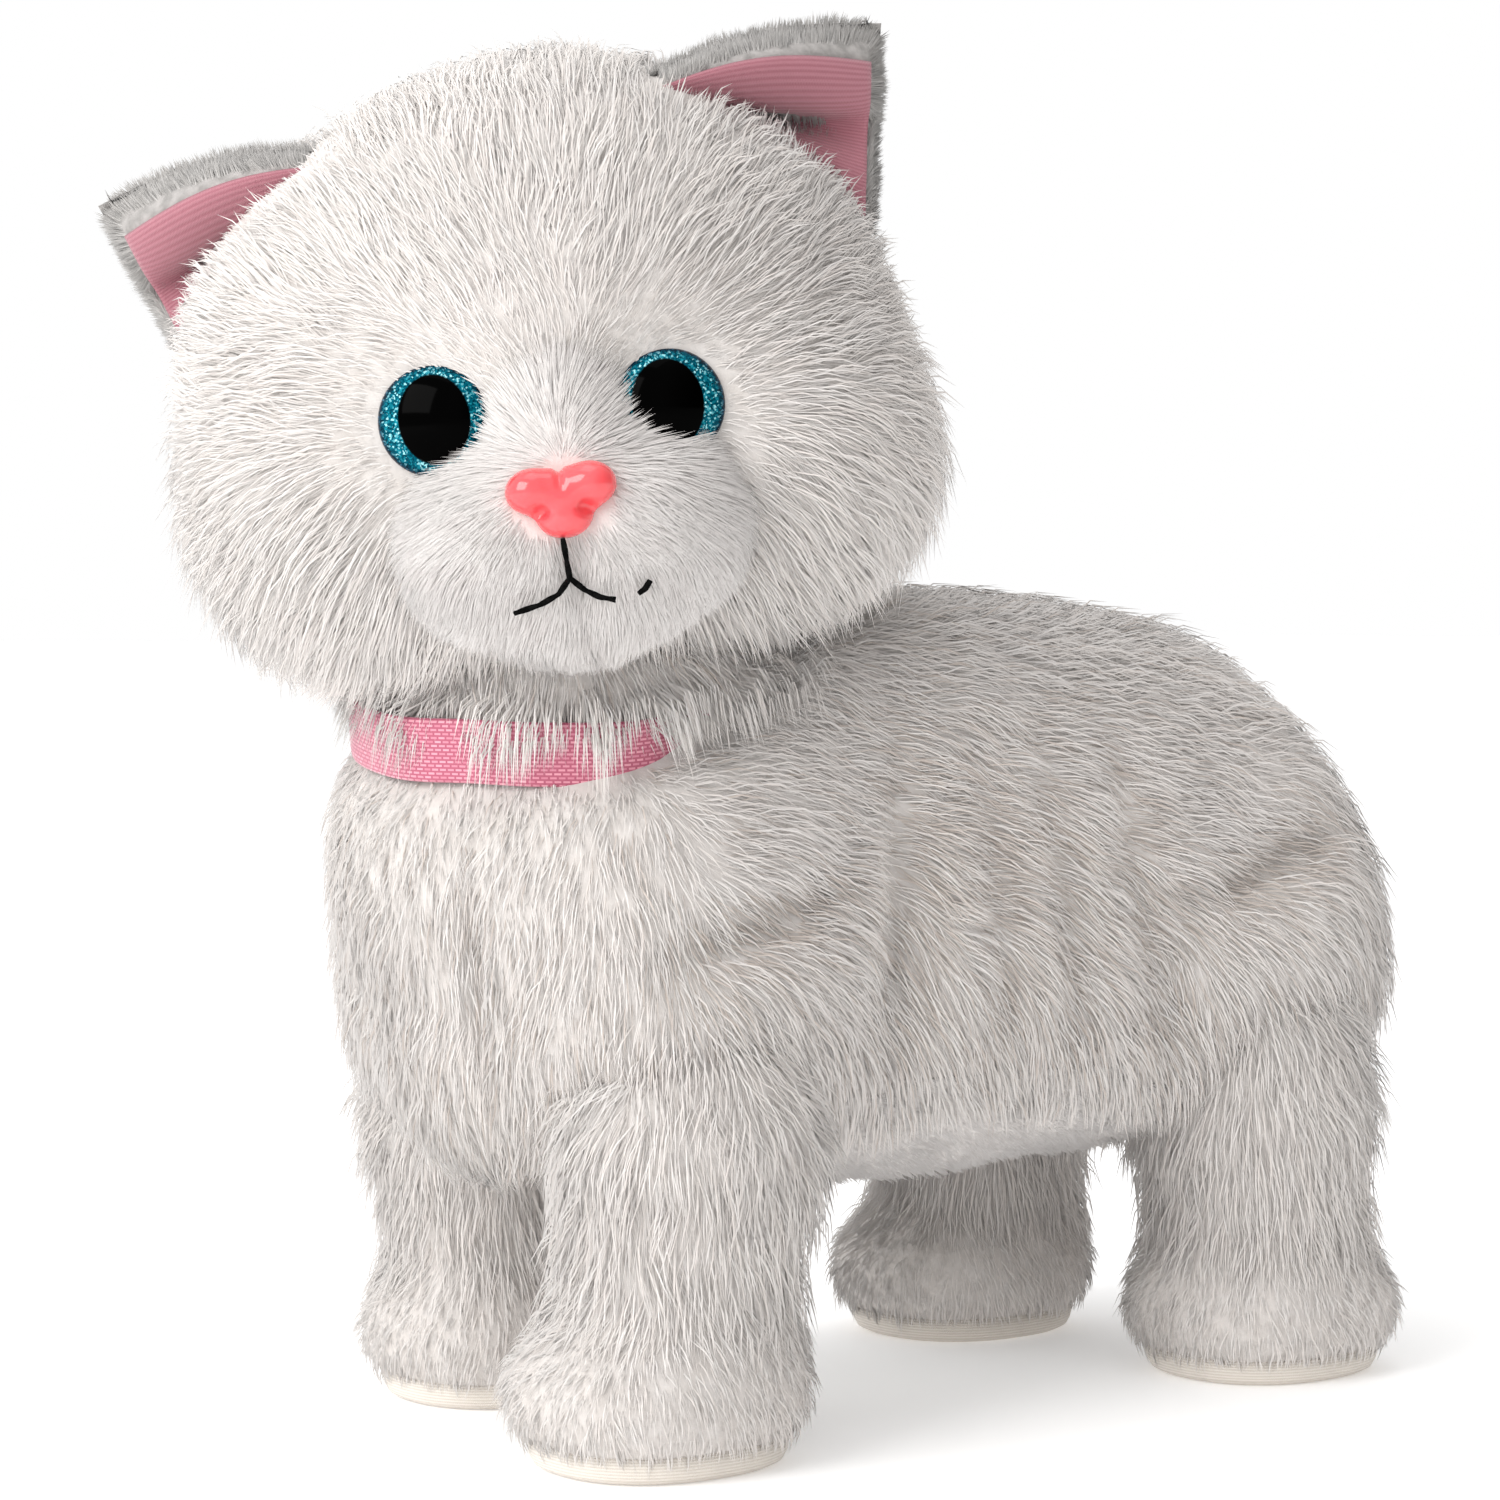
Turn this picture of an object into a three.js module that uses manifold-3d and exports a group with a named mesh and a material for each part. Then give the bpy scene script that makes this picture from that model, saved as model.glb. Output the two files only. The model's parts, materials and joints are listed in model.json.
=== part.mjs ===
// Walking plush kitten: a hard gearbox shell with four swinging legs, dressed in long-pile fabric.
// Millimetres, +Z up. The kitten faces -Y and its own left side is +X.
// The origin is on the floor, under the middle of the whole toy's box.

import * as THREE from 'three';
import { mergeVertices } from 'three/addons/utils/BufferGeometryUtils.js';
import Module from 'manifold-3d';

const wasm = await Module();
wasm.setup();

// ---------------------------------------------------------------- driving dimensions

const GAP = 0.3;                    // air between pieces that touch
const RUN = 0.5;                    // air round a piece that turns or slides

const BODY = { x: 42, y: 86, z: 46, midY: 0, midZ: 82, square: 2.9, skin: 5.5 };
const WHEELBASE = 114;              // front hip to rear hip
const HIP_Z = 79;                   // height of both hip axles and of the crankshaft
const TRACK = 31;                   // foot centre from the middle plane
const STRIDE = 7;                   // how far each foot stands fore or aft of its hip
const SWING = 15;                   // most that a leg leans from upright, with room to spare, degrees

const FOOT = { x: 22, y: 24, ankle: 22, leg: 15.5, sole: 2.2 };
const LEG_TOP = 60;                 // where the leg's fabric ends inside the body

const SHELL = { x: 19, front: -68, rear: 62, bottom: 46, top: 106, wall: 2, low: 16, high: 4, boss: 9 };
const AXLE_R = 2;
const LEVER = { front: 25.5, rear: 29, thick: 3, boss: 7.5, bar: 10, slot: 5.6, reach: 11 };
const CRANK = { shaft: 3, disc: 13, throw: 9, pin: 2.4, inner: 19.6, outer: 21.6, pinEnd: 25 };

const TOOTH = 1;                    // gear module
const TEETH = { crank: 32, step: 8, wheel: 24, pinion: 8 };

const DOOR = { x: 16.5, y: 24, low: 44.4, thick: 2.2, pin: 1.6 };
const SWITCH = { y: DOOR.y + 8, travel: 4 };
const CELL = { r: 5.1, length: 44, pitch: 10.8, z: 53.6 };

const NECK = { y: -62, post: 6, socket: 10, boss: 30 };
const COLLAR = { r: 31, thick: 1.2, width: 10, z: 111, tilt: 12, toward: 45 };

const HEAD = { x: 54, y: 45, z: 47, height: 164, forward: 4, yaw: 54, roll: 8, skin: 4.5, fill: 12 };
const EYE = { r: 7.8, side: 18.6, up: -6, dome: 5, stem: 2 };
const NOSE = { x: 8, y: 4.5, z: 5.8, up: -19, forward: 52, stem: 2 };
const MUZZLE = { x: 24.5, y: 14, z: 20, up: -22, forward: 38 };

const TAIL = { y: 90, top: 106, drop: 62, sway: 7, r: 8.5, core: 2.4 };

// ---------------------------------------------------------------- colours and finishes

const finish = (color, roughness, metalness = 0) => ({ color, roughness, metalness });
const WHITE_PLUSH = finish(0xeae6e2, 0.95);
const SHORT_PLUSH = finish(0xdedad6, 0.95);
const GREY_PLUSH = finish(0x9d9a98, 0.95);
const PINK_KNIT = finish(0xe08aa4, 0.9);
const PINK_WEBBING = finish(0xec78a6, 0.7);
const SOLE_KNIT = finish(0xe8e2da, 0.9);
const FIBRE_FILL = finish(0xf4f2ee, 1.0);
const SHELL_PLASTIC = finish(0xd9d9d4, 0.5);
const BLACK_PLASTIC = finish(0x222225, 0.45);
const GEAR_PLASTIC = finish(0xf0ead6, 0.4);
const STEEL = finish(0xb8bcc0, 0.3, 0.9);
const BOARD_GREEN = finish(0x1f6b3a, 0.5);
const EYE_PLASTIC = finish(0x1c7f95, 0.08);
const NOSE_PLASTIC = finish(0xff6f7c, 0.15);

// ---------------------------------------------------------------- solid tools

const toRadians = THREE.MathUtils.degToRad;

function solidOf(geometry) {
  const bare = geometry.clone();
  bare.deleteAttribute('normal');
  bare.deleteAttribute('uv');
  const merged = mergeVertices(bare, 1e-4);
  return new wasm.Manifold(new wasm.Mesh({
    numProp: 3,
    vertProperties: new Float32Array(merged.attributes.position.array),
    triVerts: new Uint32Array(merged.index.array),
  }));
}

function geometryOf(solid) {
  const mesh = solid.getMesh();
  const geometry = new THREE.BufferGeometry();
  geometry.setAttribute('position', new THREE.BufferAttribute(mesh.vertProperties, 3));
  geometry.setIndex(new THREE.BufferAttribute(mesh.triVerts, 1));
  geometry.computeVertexNormals();
  return geometry;
}

const join = (...solids) => solids.reduce((whole, extra) => whole.add(extra));
const cut = (body, ...tools) => tools.reduce((left, tool) => left.subtract(tool), body);

function block(low, high) {
  const size = high.map((value, i) => value - low[i]);
  const middle = high.map((value, i) => (value + low[i]) / 2);
  return solidOf(new THREE.BoxGeometry(...size).translate(...middle));
}

// A round bar between two values along one axis; `at` gives the other two coordinates in x, y, z order.
function bar(axis, radius, from, to, at, sides = 14) {
  const geometry = new THREE.CylinderGeometry(radius, radius, to - from, sides);
  const middle = (from + to) / 2;
  if (axis === 'x') geometry.rotateZ(-Math.PI / 2).translate(middle, at[0], at[1]);
  if (axis === 'y') geometry.translate(at[0], middle, at[1]);
  if (axis === 'z') geometry.rotateX(Math.PI / 2).translate(at[0], at[1], middle);
  return solidOf(geometry);
}

const ellipsoid = (x, y, z, around = 20, along = 12) => (
  new THREE.SphereGeometry(1, around, along).scale(x, y, z)
);

// A ball pushed out towards its box: every point p moves to p / (|px|^n + |py|^n + |pz|^n)^(1/n).
function plumpBox(x, y, z, n, around = 22, along = 11) {
  const geometry = new THREE.SphereGeometry(1, around, along);
  const place = geometry.attributes.position;
  const point = new THREE.Vector3();
  for (let i = 0; i < place.count; i += 1) {
    point.fromBufferAttribute(place, i);
    const sum = Math.abs(point.x) ** n + Math.abs(point.y) ** n + Math.abs(point.z) ** n;
    point.divideScalar(sum ** (1 / n));
    place.setXYZ(i, point.x, point.y, point.z);
  }
  return geometry.scale(x, y, z);
}

// An outline drawn in the side view (y across, z up), made solid from x = from to x = to.
function sidePlate(shape, from, to, curveSegments = 3) {
  const geometry = new THREE.ExtrudeGeometry(shape, { depth: to - from, bevelEnabled: false, curveSegments });
  const sideView = new THREE.Matrix4().set(0, 0, 1, from, 1, 0, 0, 0, 0, 1, 0, 0, 0, 0, 0, 1);
  return solidOf(geometry.applyMatrix4(sideView));
}

// A rectangle of the side view with one corner radius below and another above.
function roundedRectangle(left, bottom, right, top, low, high) {
  const shape = new THREE.Shape();
  shape.moveTo(left + low, bottom);
  shape.absarc(right - low, bottom + low, low, -Math.PI / 2, 0, false);
  shape.absarc(right - high, top - high, high, 0, Math.PI / 2, false);
  shape.absarc(left + high, top - high, high, Math.PI / 2, Math.PI, false);
  shape.absarc(left + low, bottom + low, low, Math.PI, Math.PI * 1.5, false);
  return shape;
}

// A flat link with round ends between two points of the side view.
function link(from, to, width) {
  const angle = Math.atan2(to[1] - from[1], to[0] - from[0]);
  const shape = new THREE.Shape();
  shape.absarc(from[0], from[1], width / 2, angle + Math.PI / 2, angle + Math.PI * 1.5, false);
  shape.absarc(to[0], to[1], width / 2, angle - Math.PI / 2, angle + Math.PI / 2, false);
  return shape;
}

// ---------------------------------------------------------------- the group that holds every mesh

const toy = new THREE.Group();

function add(name, solid, look) {
  const mesh = new THREE.Mesh(geometryOf(solid), new THREE.MeshStandardMaterial(look));
  mesh.name = name;
  toy.add(mesh);
}

// ---------------------------------------------------------------- the four leg positions

// Diagonal legs step together: front left and rear right stand forward, the other two stand back.
const LEGS = [
  { name: 'front_left', side: 1, end: -1, step: -1 },
  { name: 'front_right', side: -1, end: -1, step: 1 },
  { name: 'rear_left', side: 1, end: 1, step: 1 },
  { name: 'rear_right', side: -1, end: 1, step: -1 },
];
const hipY = (leg) => (leg.end * WHEELBASE) / 2;
const footY = (leg) => hipY(leg) + leg.step * STRIDE;
const restLean = Math.asin(STRIDE / HIP_Z);

// ---------------------------------------------------------------- body fabric

function bodyBall(shrink) {
  const { x, y, z, midY, midZ, square } = BODY;
  return solidOf(plumpBox(x - shrink, y - shrink, z - shrink, square).translate(0, midY, midZ));
}

// The room one leg sweeps below its hip: a fan in the side view, from the shell's side outwards.
function legRoom(leg) {
  const fan = toRadians(SWING + 5);
  const reach = HIP_Z + 30;
  const crown = 25;
  const shape = new THREE.Shape();
  shape.absarc(hipY(leg), HIP_Z - 6, crown, -fan, Math.PI + fan, false);
  shape.lineTo(hipY(leg) - Math.sin(fan) * reach, -20);
  shape.lineTo(hipY(leg) + Math.sin(fan) * reach, -20);
  const near = FOOT.leg - 1;
  const room = sidePlate(shape, near, near + BODY.x);
  return leg.side > 0 ? room : room.mirror([1, 0, 0]);
}

const BELLY = { x: 28, y: 38 };
const bellyBlock = (grow) => block(
  [-BELLY.x - grow, -BELLY.y - grow, 20],
  [BELLY.x + grow, BELLY.y + grow, 60],
);

function headSweep(grow) {
  const widest = HEAD.x + HEAD.forward;
  const ball = ellipsoid(widest + grow, widest + grow, HEAD.z + grow, 20, 14);
  return solidOf(ball.translate(0, NECK.y, HEAD.height));
}

function bodySkin() {
  const wall = bodyBall(0).subtract(bodyBall(BODY.skin));
  const neckTop = HEAD.height - HEAD.z + 4;
  const neckBoss = bar('z', NECK.boss, 92, neckTop, [0, NECK.y], 24);
  const neckHole = bar('z', NECK.boss - BODY.skin, SHELL.top - 6, neckTop + 1, [0, NECK.y], 20);
  const { x, front, rear, bottom, top, low, high } = SHELL;
  const shellOutline = roundedRectangle(front - RUN, bottom - RUN, rear + RUN, top + RUN, low, high);
  const shellRoom = sidePlate(shellOutline, -x - RUN, x + RUN);
  const tailHole = bar('y', 5, BODY.y - 20, BODY.y + 10, [0, TAIL.top - 4], 12);
  return cut(
    join(wall, neckBoss.subtract(bodyBall(BODY.skin))),
    neckHole,
    headSweep(2.5),
    bellyBlock(GAP),
    collarBand(0.4),
    shellRoom,
    tailHole,
    ...LEGS.map(legRoom),
  );
}

// The short-pile panel under the body, with the window that leads to the battery door and switch.
function bellyPanel() {
  const slab = bodyBall(0.1).subtract(bodyBall(BODY.skin - 1)).intersect(bellyBlock(-GAP));
  const doorWindow = block([-DOOR.x - 2, -DOOR.y - 1, 20], [DOOR.x + 2, DOOR.y + 1.6, 60]);
  const switchWindow = block([-7, SWITCH.y - 4, 20], [7, SWITCH.y + 3, 60]);
  return cut(slab, doorWindow, switchWindow, ...LEGS.map(legRoom));
}

// A flat ring round the neck, lowest on the side that the head looks to.
function collarBand(grow = 0) {
  const { r, thick, width, z, tilt, toward } = COLLAR;
  const inner = r - grow;
  const outer = r + thick + grow;
  const half = width / 2 + grow;
  const profile = [[inner, -half], [outer, -half], [outer, half], [inner, half], [inner, -half]];
  const ring = new THREE.LatheGeometry(profile.map((p) => new THREE.Vector2(...p)), 28);
  ring.rotateX(Math.PI / 2 + toRadians(tilt)).rotateZ(toRadians(toward)).translate(0, NECK.y, z);
  return solidOf(ring);
}

// ---------------------------------------------------------------- gearbox shell

const SCREW_SPOTS = [
  [SHELL.front + SHELL.boss, SHELL.bottom + SHELL.boss],
  [SHELL.front + SHELL.boss + 12, SHELL.top - SHELL.boss],
  [SHELL.rear - SHELL.boss, SHELL.bottom + SHELL.boss],
  [SHELL.rear - SHELL.boss, SHELL.top - SHELL.boss],
];

function shellHalf(side) {
  const { x, front, rear, bottom, top, wall, low, high } = SHELL;
  const outer = sidePlate(roundedRectangle(front, bottom, rear, top, low, high), GAP / 2, x);
  const inner = sidePlate(
    roundedRectangle(front + wall, bottom + wall, rear - wall, top - wall, low - wall, high - wall),
    -1,
    x - wall,
  );
  const bosses = SCREW_SPOTS.map((spot) => bar('x', 3.2, GAP / 2, x - 1, spot, 8));
  const half = cut(
    join(outer.subtract(inner), ...bosses),
    ...[-1, 1].map((end) => bar('x', AXLE_R + GAP, 0, x + 1, [(end * WHEELBASE) / 2, HIP_Z])),
    bar('x', CRANK.shaft + RUN, 0, x + 1, [0, HIP_Z]),
    block([-1, -DOOR.y - 1.4, bottom - 1], [DOOR.x + 0.6, DOOR.y + 1.4, bottom + wall + 0.2]),
    block([-1, DOOR.y + 4, bottom - 1], [6, DOOR.y + 12, bottom + wall + 0.2]),
    bar('z', 3, top - wall - 1, top + 1, [0, NECK.y]),
    bar('y', 3, rear - wall - 1, rear + 1, [0, TAIL.top - 8], 12),
    ...SCREW_SPOTS.map((spot) => bar('x', 1.4, -1, side > 0 ? x - 6 : x + 1, spot, 8)),
    ...(side > 0 ? [] : SCREW_SPOTS.map((spot) => bar('x', 2.7, 8, x + 1, spot, 10))),
  );
  return side > 0 ? half : half.mirror([1, 0, 0]);
}

// A pan-head screw that enters from the right-hand half and bites in the left-hand half.
function shellScrew(spot) {
  const shank = bar('x', 1.05, -9, 9, spot, 8);
  const head = bar('x', 2.3, -10.4, -8 - GAP, spot, 10);
  return join(shank, head);
}

function batteryBox() {
  const top = CELL.z + CELL.r + 2;
  const low = SHELL.bottom + SHELL.wall + GAP;
  const outer = block([-SHELL.x + SHELL.wall + GAP, -DOOR.y - 1, low], [SHELL.x - SHELL.wall - GAP, DOOR.y + 1, top]);
  const inside = block([-DOOR.x + 0.3, -CELL.length / 2 - 1, low - 1], [DOOR.x - 0.3, CELL.length / 2 + 1, top - 1.2]);
  return outer.subtract(inside);
}

function cell(index) {
  const x = (index - 1) * CELL.pitch;
  const half = CELL.length / 2;
  const can = bar('y', CELL.r, -half, half - 1, [x, CELL.z], 16);
  const tip = bar('y', 1.9, half - 1.1, half, [x, CELL.z], 10);
  return join(can, tip);
}

function batteryDoor() {
  const { x, y, low, thick, pin } = DOOR;
  const plate = block([-x, -y, low], [x, y - 2.6, low + thick]);
  const barrel = bar('x', pin, -x + 2, x - 2, [y - 1, low + thick / 2], 14);
  const tabs = [-1, 1].map((side) => (
    block([side * 11 - 2, y - 2.7, low + 0.4], [side * 11 + 2, y - 1, low + thick - 0.4])
  ));
  return cut(join(plate, barrel, ...tabs), bar('z', 1.6, low - 1, low + thick + 1, [0, -y + 4], 14));
}

const doorScrew = () => join(
  bar('z', 1.2, DOOR.low - 1, DOOR.low + DOOR.thick + 1, [0, -DOOR.y + 4], 10),
  bar('z', 2.4, DOOR.low - 1.8, DOOR.low - GAP, [0, -DOOR.y + 4]),
);

// ---------------------------------------------------------------- switch

function switchHousing() {
  const low = SHELL.bottom + SHELL.wall + GAP + 0.2;
  const body = block([-8, SWITCH.y - 3.5, low], [8, SWITCH.y + 3.5, low + 6]);
  const slot = block([-5.2, SWITCH.y - 2, low - 1], [5.2, SWITCH.y + 2, low + 4]);
  return body.subtract(slot);
}

function switchSlider() {
  const low = SHELL.bottom + SHELL.wall + GAP;
  const middle = -SWITCH.travel / 2;
  const carrier = block([middle - 2.6, SWITCH.y - 1.6, low], [middle + 2.6, SWITCH.y + 1.6, low + 3]);
  const knob = block([middle - 1.5, SWITCH.y - 1.5, SHELL.bottom - 1.6], [middle + 1.5, SWITCH.y + 1.5, low + 0.1]);
  return join(carrier, knob);
}

// ---------------------------------------------------------------- gear train

// A spur gear about an axis along x: straight-flanked teeth, narrowed a little for running play.
function gear(teeth, from, to, at, bore, phase = 0) {
  const pitch = (teeth * TOOTH) / 2;
  const tip = pitch + 0.85 * TOOTH;
  const root = pitch - 1.2 * TOOTH;
  const step = (Math.PI * 2) / teeth;
  const corners = [[root, -0.34], [tip, -0.13], [tip, 0.13], [root, 0.34]];
  const shape = new THREE.Shape();
  for (let tooth = 0; tooth < teeth; tooth += 1) {
    corners.forEach(([radius, share], i) => {
      const angle = (tooth + phase + share) * step;
      const point = [at[0] + radius * Math.cos(angle), at[1] + radius * Math.sin(angle)];
      if (tooth + i === 0) shape.moveTo(...point);
      else shape.lineTo(...point);
    });
  }
  shape.closePath();
  const wheel = sidePlate(shape, from, to);
  return bore > 0 ? wheel.subtract(bar('x', bore, from - 1, to + 1, at)) : wheel;
}

const STEP_Y = ((TEETH.crank + TEETH.step) * TOOTH) / 2;
const PINION_Y = STEP_Y + ((TEETH.wheel + TEETH.pinion) * TOOTH) / 2;

// The crank pin's height at rest puts the lever ends where the standing legs hold them.
const pinDrop = (WHEELBASE / 2) * Math.sin(restLean);
const pinAngle = Math.asin(-pinDrop / CRANK.throw);

function crankDisc(side) {
  const disc = bar('x', CRANK.disc, CRANK.inner, CRANK.outer, [0, HIP_Z], 24);
  const turn = pinAngle + (side > 0 ? 0 : Math.PI);
  const spot = [CRANK.throw * Math.cos(turn), HIP_Z + CRANK.throw * Math.sin(turn)];
  const pin = bar('x', CRANK.pin, CRANK.outer - 0.5, CRANK.pinEnd, spot, 16);
  const bore = bar('x', CRANK.shaft + GAP, CRANK.inner - 1, CRANK.outer + 1, [0, HIP_Z]);
  const whole = join(disc, pin).subtract(bore);
  return side > 0 ? whole : whole.mirror([1, 0, 0]);
}

function stepGear() {
  const at = [STEP_Y, HIP_Z];
  const small = gear(TEETH.step, 1.5, 7, at, 0, 0.5);
  const large = gear(TEETH.wheel, 7, 10.2, at, 0);
  const hub = bar('x', 1.5, -1, 13.5, at, 12);
  return join(small, large, hub);
}

function gearboxPlate() {
  const plate = sidePlate(roundedRectangle(-10, 64, PINION_Y + 11, 96, 4, 4), 11.4, 13.2);
  return cut(
    plate,
    bar('x', CRANK.shaft + RUN, 11, 14, [0, HIP_Z]),
    bar('x', 1.5 + RUN, 11, 14, [STEP_Y, HIP_Z], 14),
    bar('x', 1 + RUN, 11, 14, [PINION_Y, HIP_Z], 14),
  );
}

function motorCan() {
  const can = bar('x', 10, -15.5, 5, [PINION_Y, HIP_Z], 28);
  const flats = block([-16, PINION_Y - 11, HIP_Z - 7.6], [6, PINION_Y + 11, HIP_Z + 7.6]);
  return cut(can.intersect(flats), bar('x', 1.6, 2, 6, [PINION_Y, HIP_Z], 12));
}

function motorPinion() {
  const at = [PINION_Y, HIP_Z];
  const meshPhase = 0.5;
  return join(gear(TEETH.pinion, 6.6, 10.6, at, 0, meshPhase), bar('x', 1, 2.4, 13, at, 10));
}

// ---------------------------------------------------------------- sound and control

function circuitBoard() {
  const board = block([-14, -37, 97], [14, 2, 98.6]);
  const chip = block([-5, -31, 98.5], [5, -21, 100.6]);
  const capacitor = bar('z', 3, 98.5, 102.5, [8, -8]);
  const socket = block([-12, -10, 98.5], [-5, -4, 102]);
  return join(board, chip, capacitor, socket);
}

function speaker() {
  const at = [0, -34];
  const frame = bar('z', 14, 88, 91, at, 28);
  const magnet = bar('z', 8, 83, 88.1, at, 22);
  const dish = bar('z', 11.5, 90, 92, at, 28);
  return cut(join(frame, magnet), dish);
}

// ---------------------------------------------------------------- legs

// Plastic leg: hip boss, slotted drive arm to the crank, bar down to a flat foot plate.
function legCore(leg, grow = 0) {
  const from = (leg.end < 0 ? LEVER.front : LEVER.rear) - grow;
  const to = from + LEVER.thick + 2 * grow;
  const hip = [hipY(leg), HIP_Z];
  const drop = Math.sin(restLean) * (WHEELBASE / 2 + LEVER.reach + 4) * -leg.side;
  const armEnd = [-leg.end * (LEVER.reach + 4), HIP_Z + drop];
  const slotFall = (Math.sin(restLean) * WHEELBASE) / 2 * -leg.side;
  const slotTilt = Math.tan(restLean) * LEVER.reach * leg.end * leg.side;
  const slot = [-1, 1].map((way) => [way * LEVER.reach, HIP_Z + slotFall + way * slotTilt]);
  const ankle = [footY(leg), 8];
  const plate = block(
    [from - 8, footY(leg) - 14 - grow, 5 - grow],
    [to + 8, footY(leg) + 14 + grow, 8 + grow],
  );
  const core = cut(
    join(
      sidePlate(link(hip, hip, (LEVER.boss + grow) * 2), from, to),
      sidePlate(link(hip, armEnd, LEVER.bar + 1), from, to),
      sidePlate(link(hip, ankle, LEVER.bar + 2 * grow), from, to),
      plate,
    ),
    sidePlate(link(slot[0], slot[1], LEVER.slot), from - 1, to + 1),
    bar('x', AXLE_R + GAP, from - 1, to + 1, hip),
  );
  return leg.side > 0 ? core : core.mirror([1, 0, 0]);
}

// Fabric tube with a rounded paw: a turned profile that leans from hip to foot.
function legPlush(leg) {
  const paw = FOOT.x;
  const profile = [
    [0, FOOT.sole + GAP], [paw - 5, FOOT.sole + GAP], [paw - 1.5, 6], [paw, 11], [paw - 2, 17],
    [FOOT.leg + 1, FOOT.ankle], [FOOT.leg - 0.5, FOOT.ankle + 6], [FOOT.leg, 42], [FOOT.leg - 1, LEG_TOP],
    [0, LEG_TOP],
  ];
  const turned = new THREE.LatheGeometry(profile.map((p) => new THREE.Vector2(...p)), 18);
  turned.rotateX(Math.PI / 2);
  const place = turned.attributes.position;
  for (let i = 0; i < place.count; i += 1) {
    const z = place.getZ(i);
    const stretch = z < FOOT.ankle ? FOOT.y / FOOT.x : 1;
    const lean = ((HIP_Z - z) / HIP_Z) * leg.step * STRIDE;
    place.setXYZ(i, leg.side * TRACK + place.getX(i), hipY(leg) + place.getY(i) * stretch + lean, z);
  }
  const shellSide = leg.side * (SHELL.x + RUN);
  const besideShell = block(
    [Math.min(0, shellSide), hipY(leg) - 40, SHELL.bottom - 9],
    [Math.max(0, shellSide), hipY(leg) + 40, LEG_TOP + 1],
  );
  return cut(solidOf(turned), legCore(leg, 0.35), besideShell);
}

function legSole(leg) {
  const shape = new THREE.Shape();
  shape.absellipse(0, 0, FOOT.x - 4.5, FOOT.y - 5, 0, Math.PI * 2, false);
  const geometry = new THREE.ExtrudeGeometry(shape, { depth: FOOT.sole, bevelEnabled: false, curveSegments: 14 });
  return solidOf(geometry.translate(leg.side * TRACK, footY(leg), 0));
}

const axle = (end) => bar('x', AXLE_R, -LEVER.rear - LEVER.thick - 2, LEVER.rear + LEVER.thick + 2, [(end * WHEELBASE) / 2, HIP_Z], 16);

// ---------------------------------------------------------------- head

const headTurn = new THREE.Matrix4().compose(
  new THREE.Vector3(
    HEAD.forward * Math.sin(toRadians(HEAD.yaw)),
    NECK.y - HEAD.forward * Math.cos(toRadians(HEAD.yaw)),
    HEAD.height,
  ),
  new THREE.Quaternion().setFromEuler(new THREE.Euler(0, -toRadians(HEAD.roll), toRadians(HEAD.yaw), 'ZYX')),
  new THREE.Vector3(1, 1, 1),
);
const inHead = (geometry) => solidOf(geometry.applyMatrix4(headTurn));
const headBall = (shrink) => inHead(ellipsoid(HEAD.x - shrink, HEAD.y - shrink, HEAD.z - shrink, 18, 12));

// A short bar along the face's own forward axis, in the head's own place.
const faceBar = (radius, back, front, side, up, sides = 12) => inHead(
  new THREE.CylinderGeometry(radius, radius, front - back, sides).translate(side, -(front + back) / 2, up),
);
const faceDepth = (side, up, shrink = 0) => (HEAD.y - shrink) * Math.sqrt(
  1 - (side / (HEAD.x - shrink)) ** 2 - (up / (HEAD.z - shrink)) ** 2,
);

const neckBore = (radius, top) => bar('z', radius, HEAD.height - HEAD.z - 10, top, [0, NECK.y], 20);
const stemHole = (side, up, radius) => faceBar(radius + GAP, 20, 60, side, up, 8);

function headPlush() {
  return cut(
    headBall(0),
    headBall(HEAD.skin),
    neckBore(15, HEAD.height - HEAD.z + 12),
    stemHole(EYE.side, EYE.up, EYE.stem),
    stemHole(-EYE.side, EYE.up, EYE.stem),
    stemHole(0, NOSE.up, NOSE.stem),
  );
}

const headFill = () => headBall(HEAD.fill).subtract(neckBore(NECK.post + GAP, HEAD.height + 14));

function muzzlePlush() {
  const { x, y, z, up, forward } = MUZZLE;
  const ball = inHead(ellipsoid(x, y, z, 18, 10).translate(0, -forward, up));
  const eyeRoom = [-1, 1].map((way) => faceBar(EYE.r + RUN, 30, 60, way * EYE.side, EYE.up, 16));
  return cut(ball, headBall(-GAP), noseBall(GAP), stemHole(0, NOSE.up, NOSE.stem), ...eyeRoom);
}

const noseBall = (grow) => inHead(
  ellipsoid(NOSE.x + grow, NOSE.y + grow, NOSE.z + grow, 14, 8).translate(0, -NOSE.forward, NOSE.up),
);
const nose = () => join(noseBall(0), faceBar(NOSE.stem, 31, NOSE.forward, 0, NOSE.up));
const noseWasher = () => faceBar(4.2, 31.8, 33.2, 0, NOSE.up)
  .subtract(faceBar(NOSE.stem + GAP, 30, 36, 0, NOSE.up));

// Domed eye on a stem: the rim stands just off the fabric.
function eye(side) {
  const depth = faceDepth(EYE.side, EYE.up) + 1.5;
  const profile = [[0, -1], [EYE.r - 0.6, -1], [EYE.r, 0], [EYE.r * 0.86, EYE.dome * 0.5]];
  profile.push([EYE.r * 0.5, EYE.dome * 0.87], [0, EYE.dome]);
  const dome = new THREE.LatheGeometry(profile.map((p) => new THREE.Vector2(...p)), 20);
  dome.rotateX(Math.PI).translate(side * EYE.side, -depth, EYE.up);
  const seat = headBall(-GAP);
  const stem = faceBar(EYE.stem, 31, depth + 1, side * EYE.side, EYE.up);
  return join(inHead(dome).subtract(seat), stem);
}

const eyeWasher = (side) => faceBar(5, 33.4, 34.8, side * EYE.side, EYE.up)
  .subtract(faceBar(EYE.stem + GAP, 30, 37, side * EYE.side, EYE.up, 12));

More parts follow.
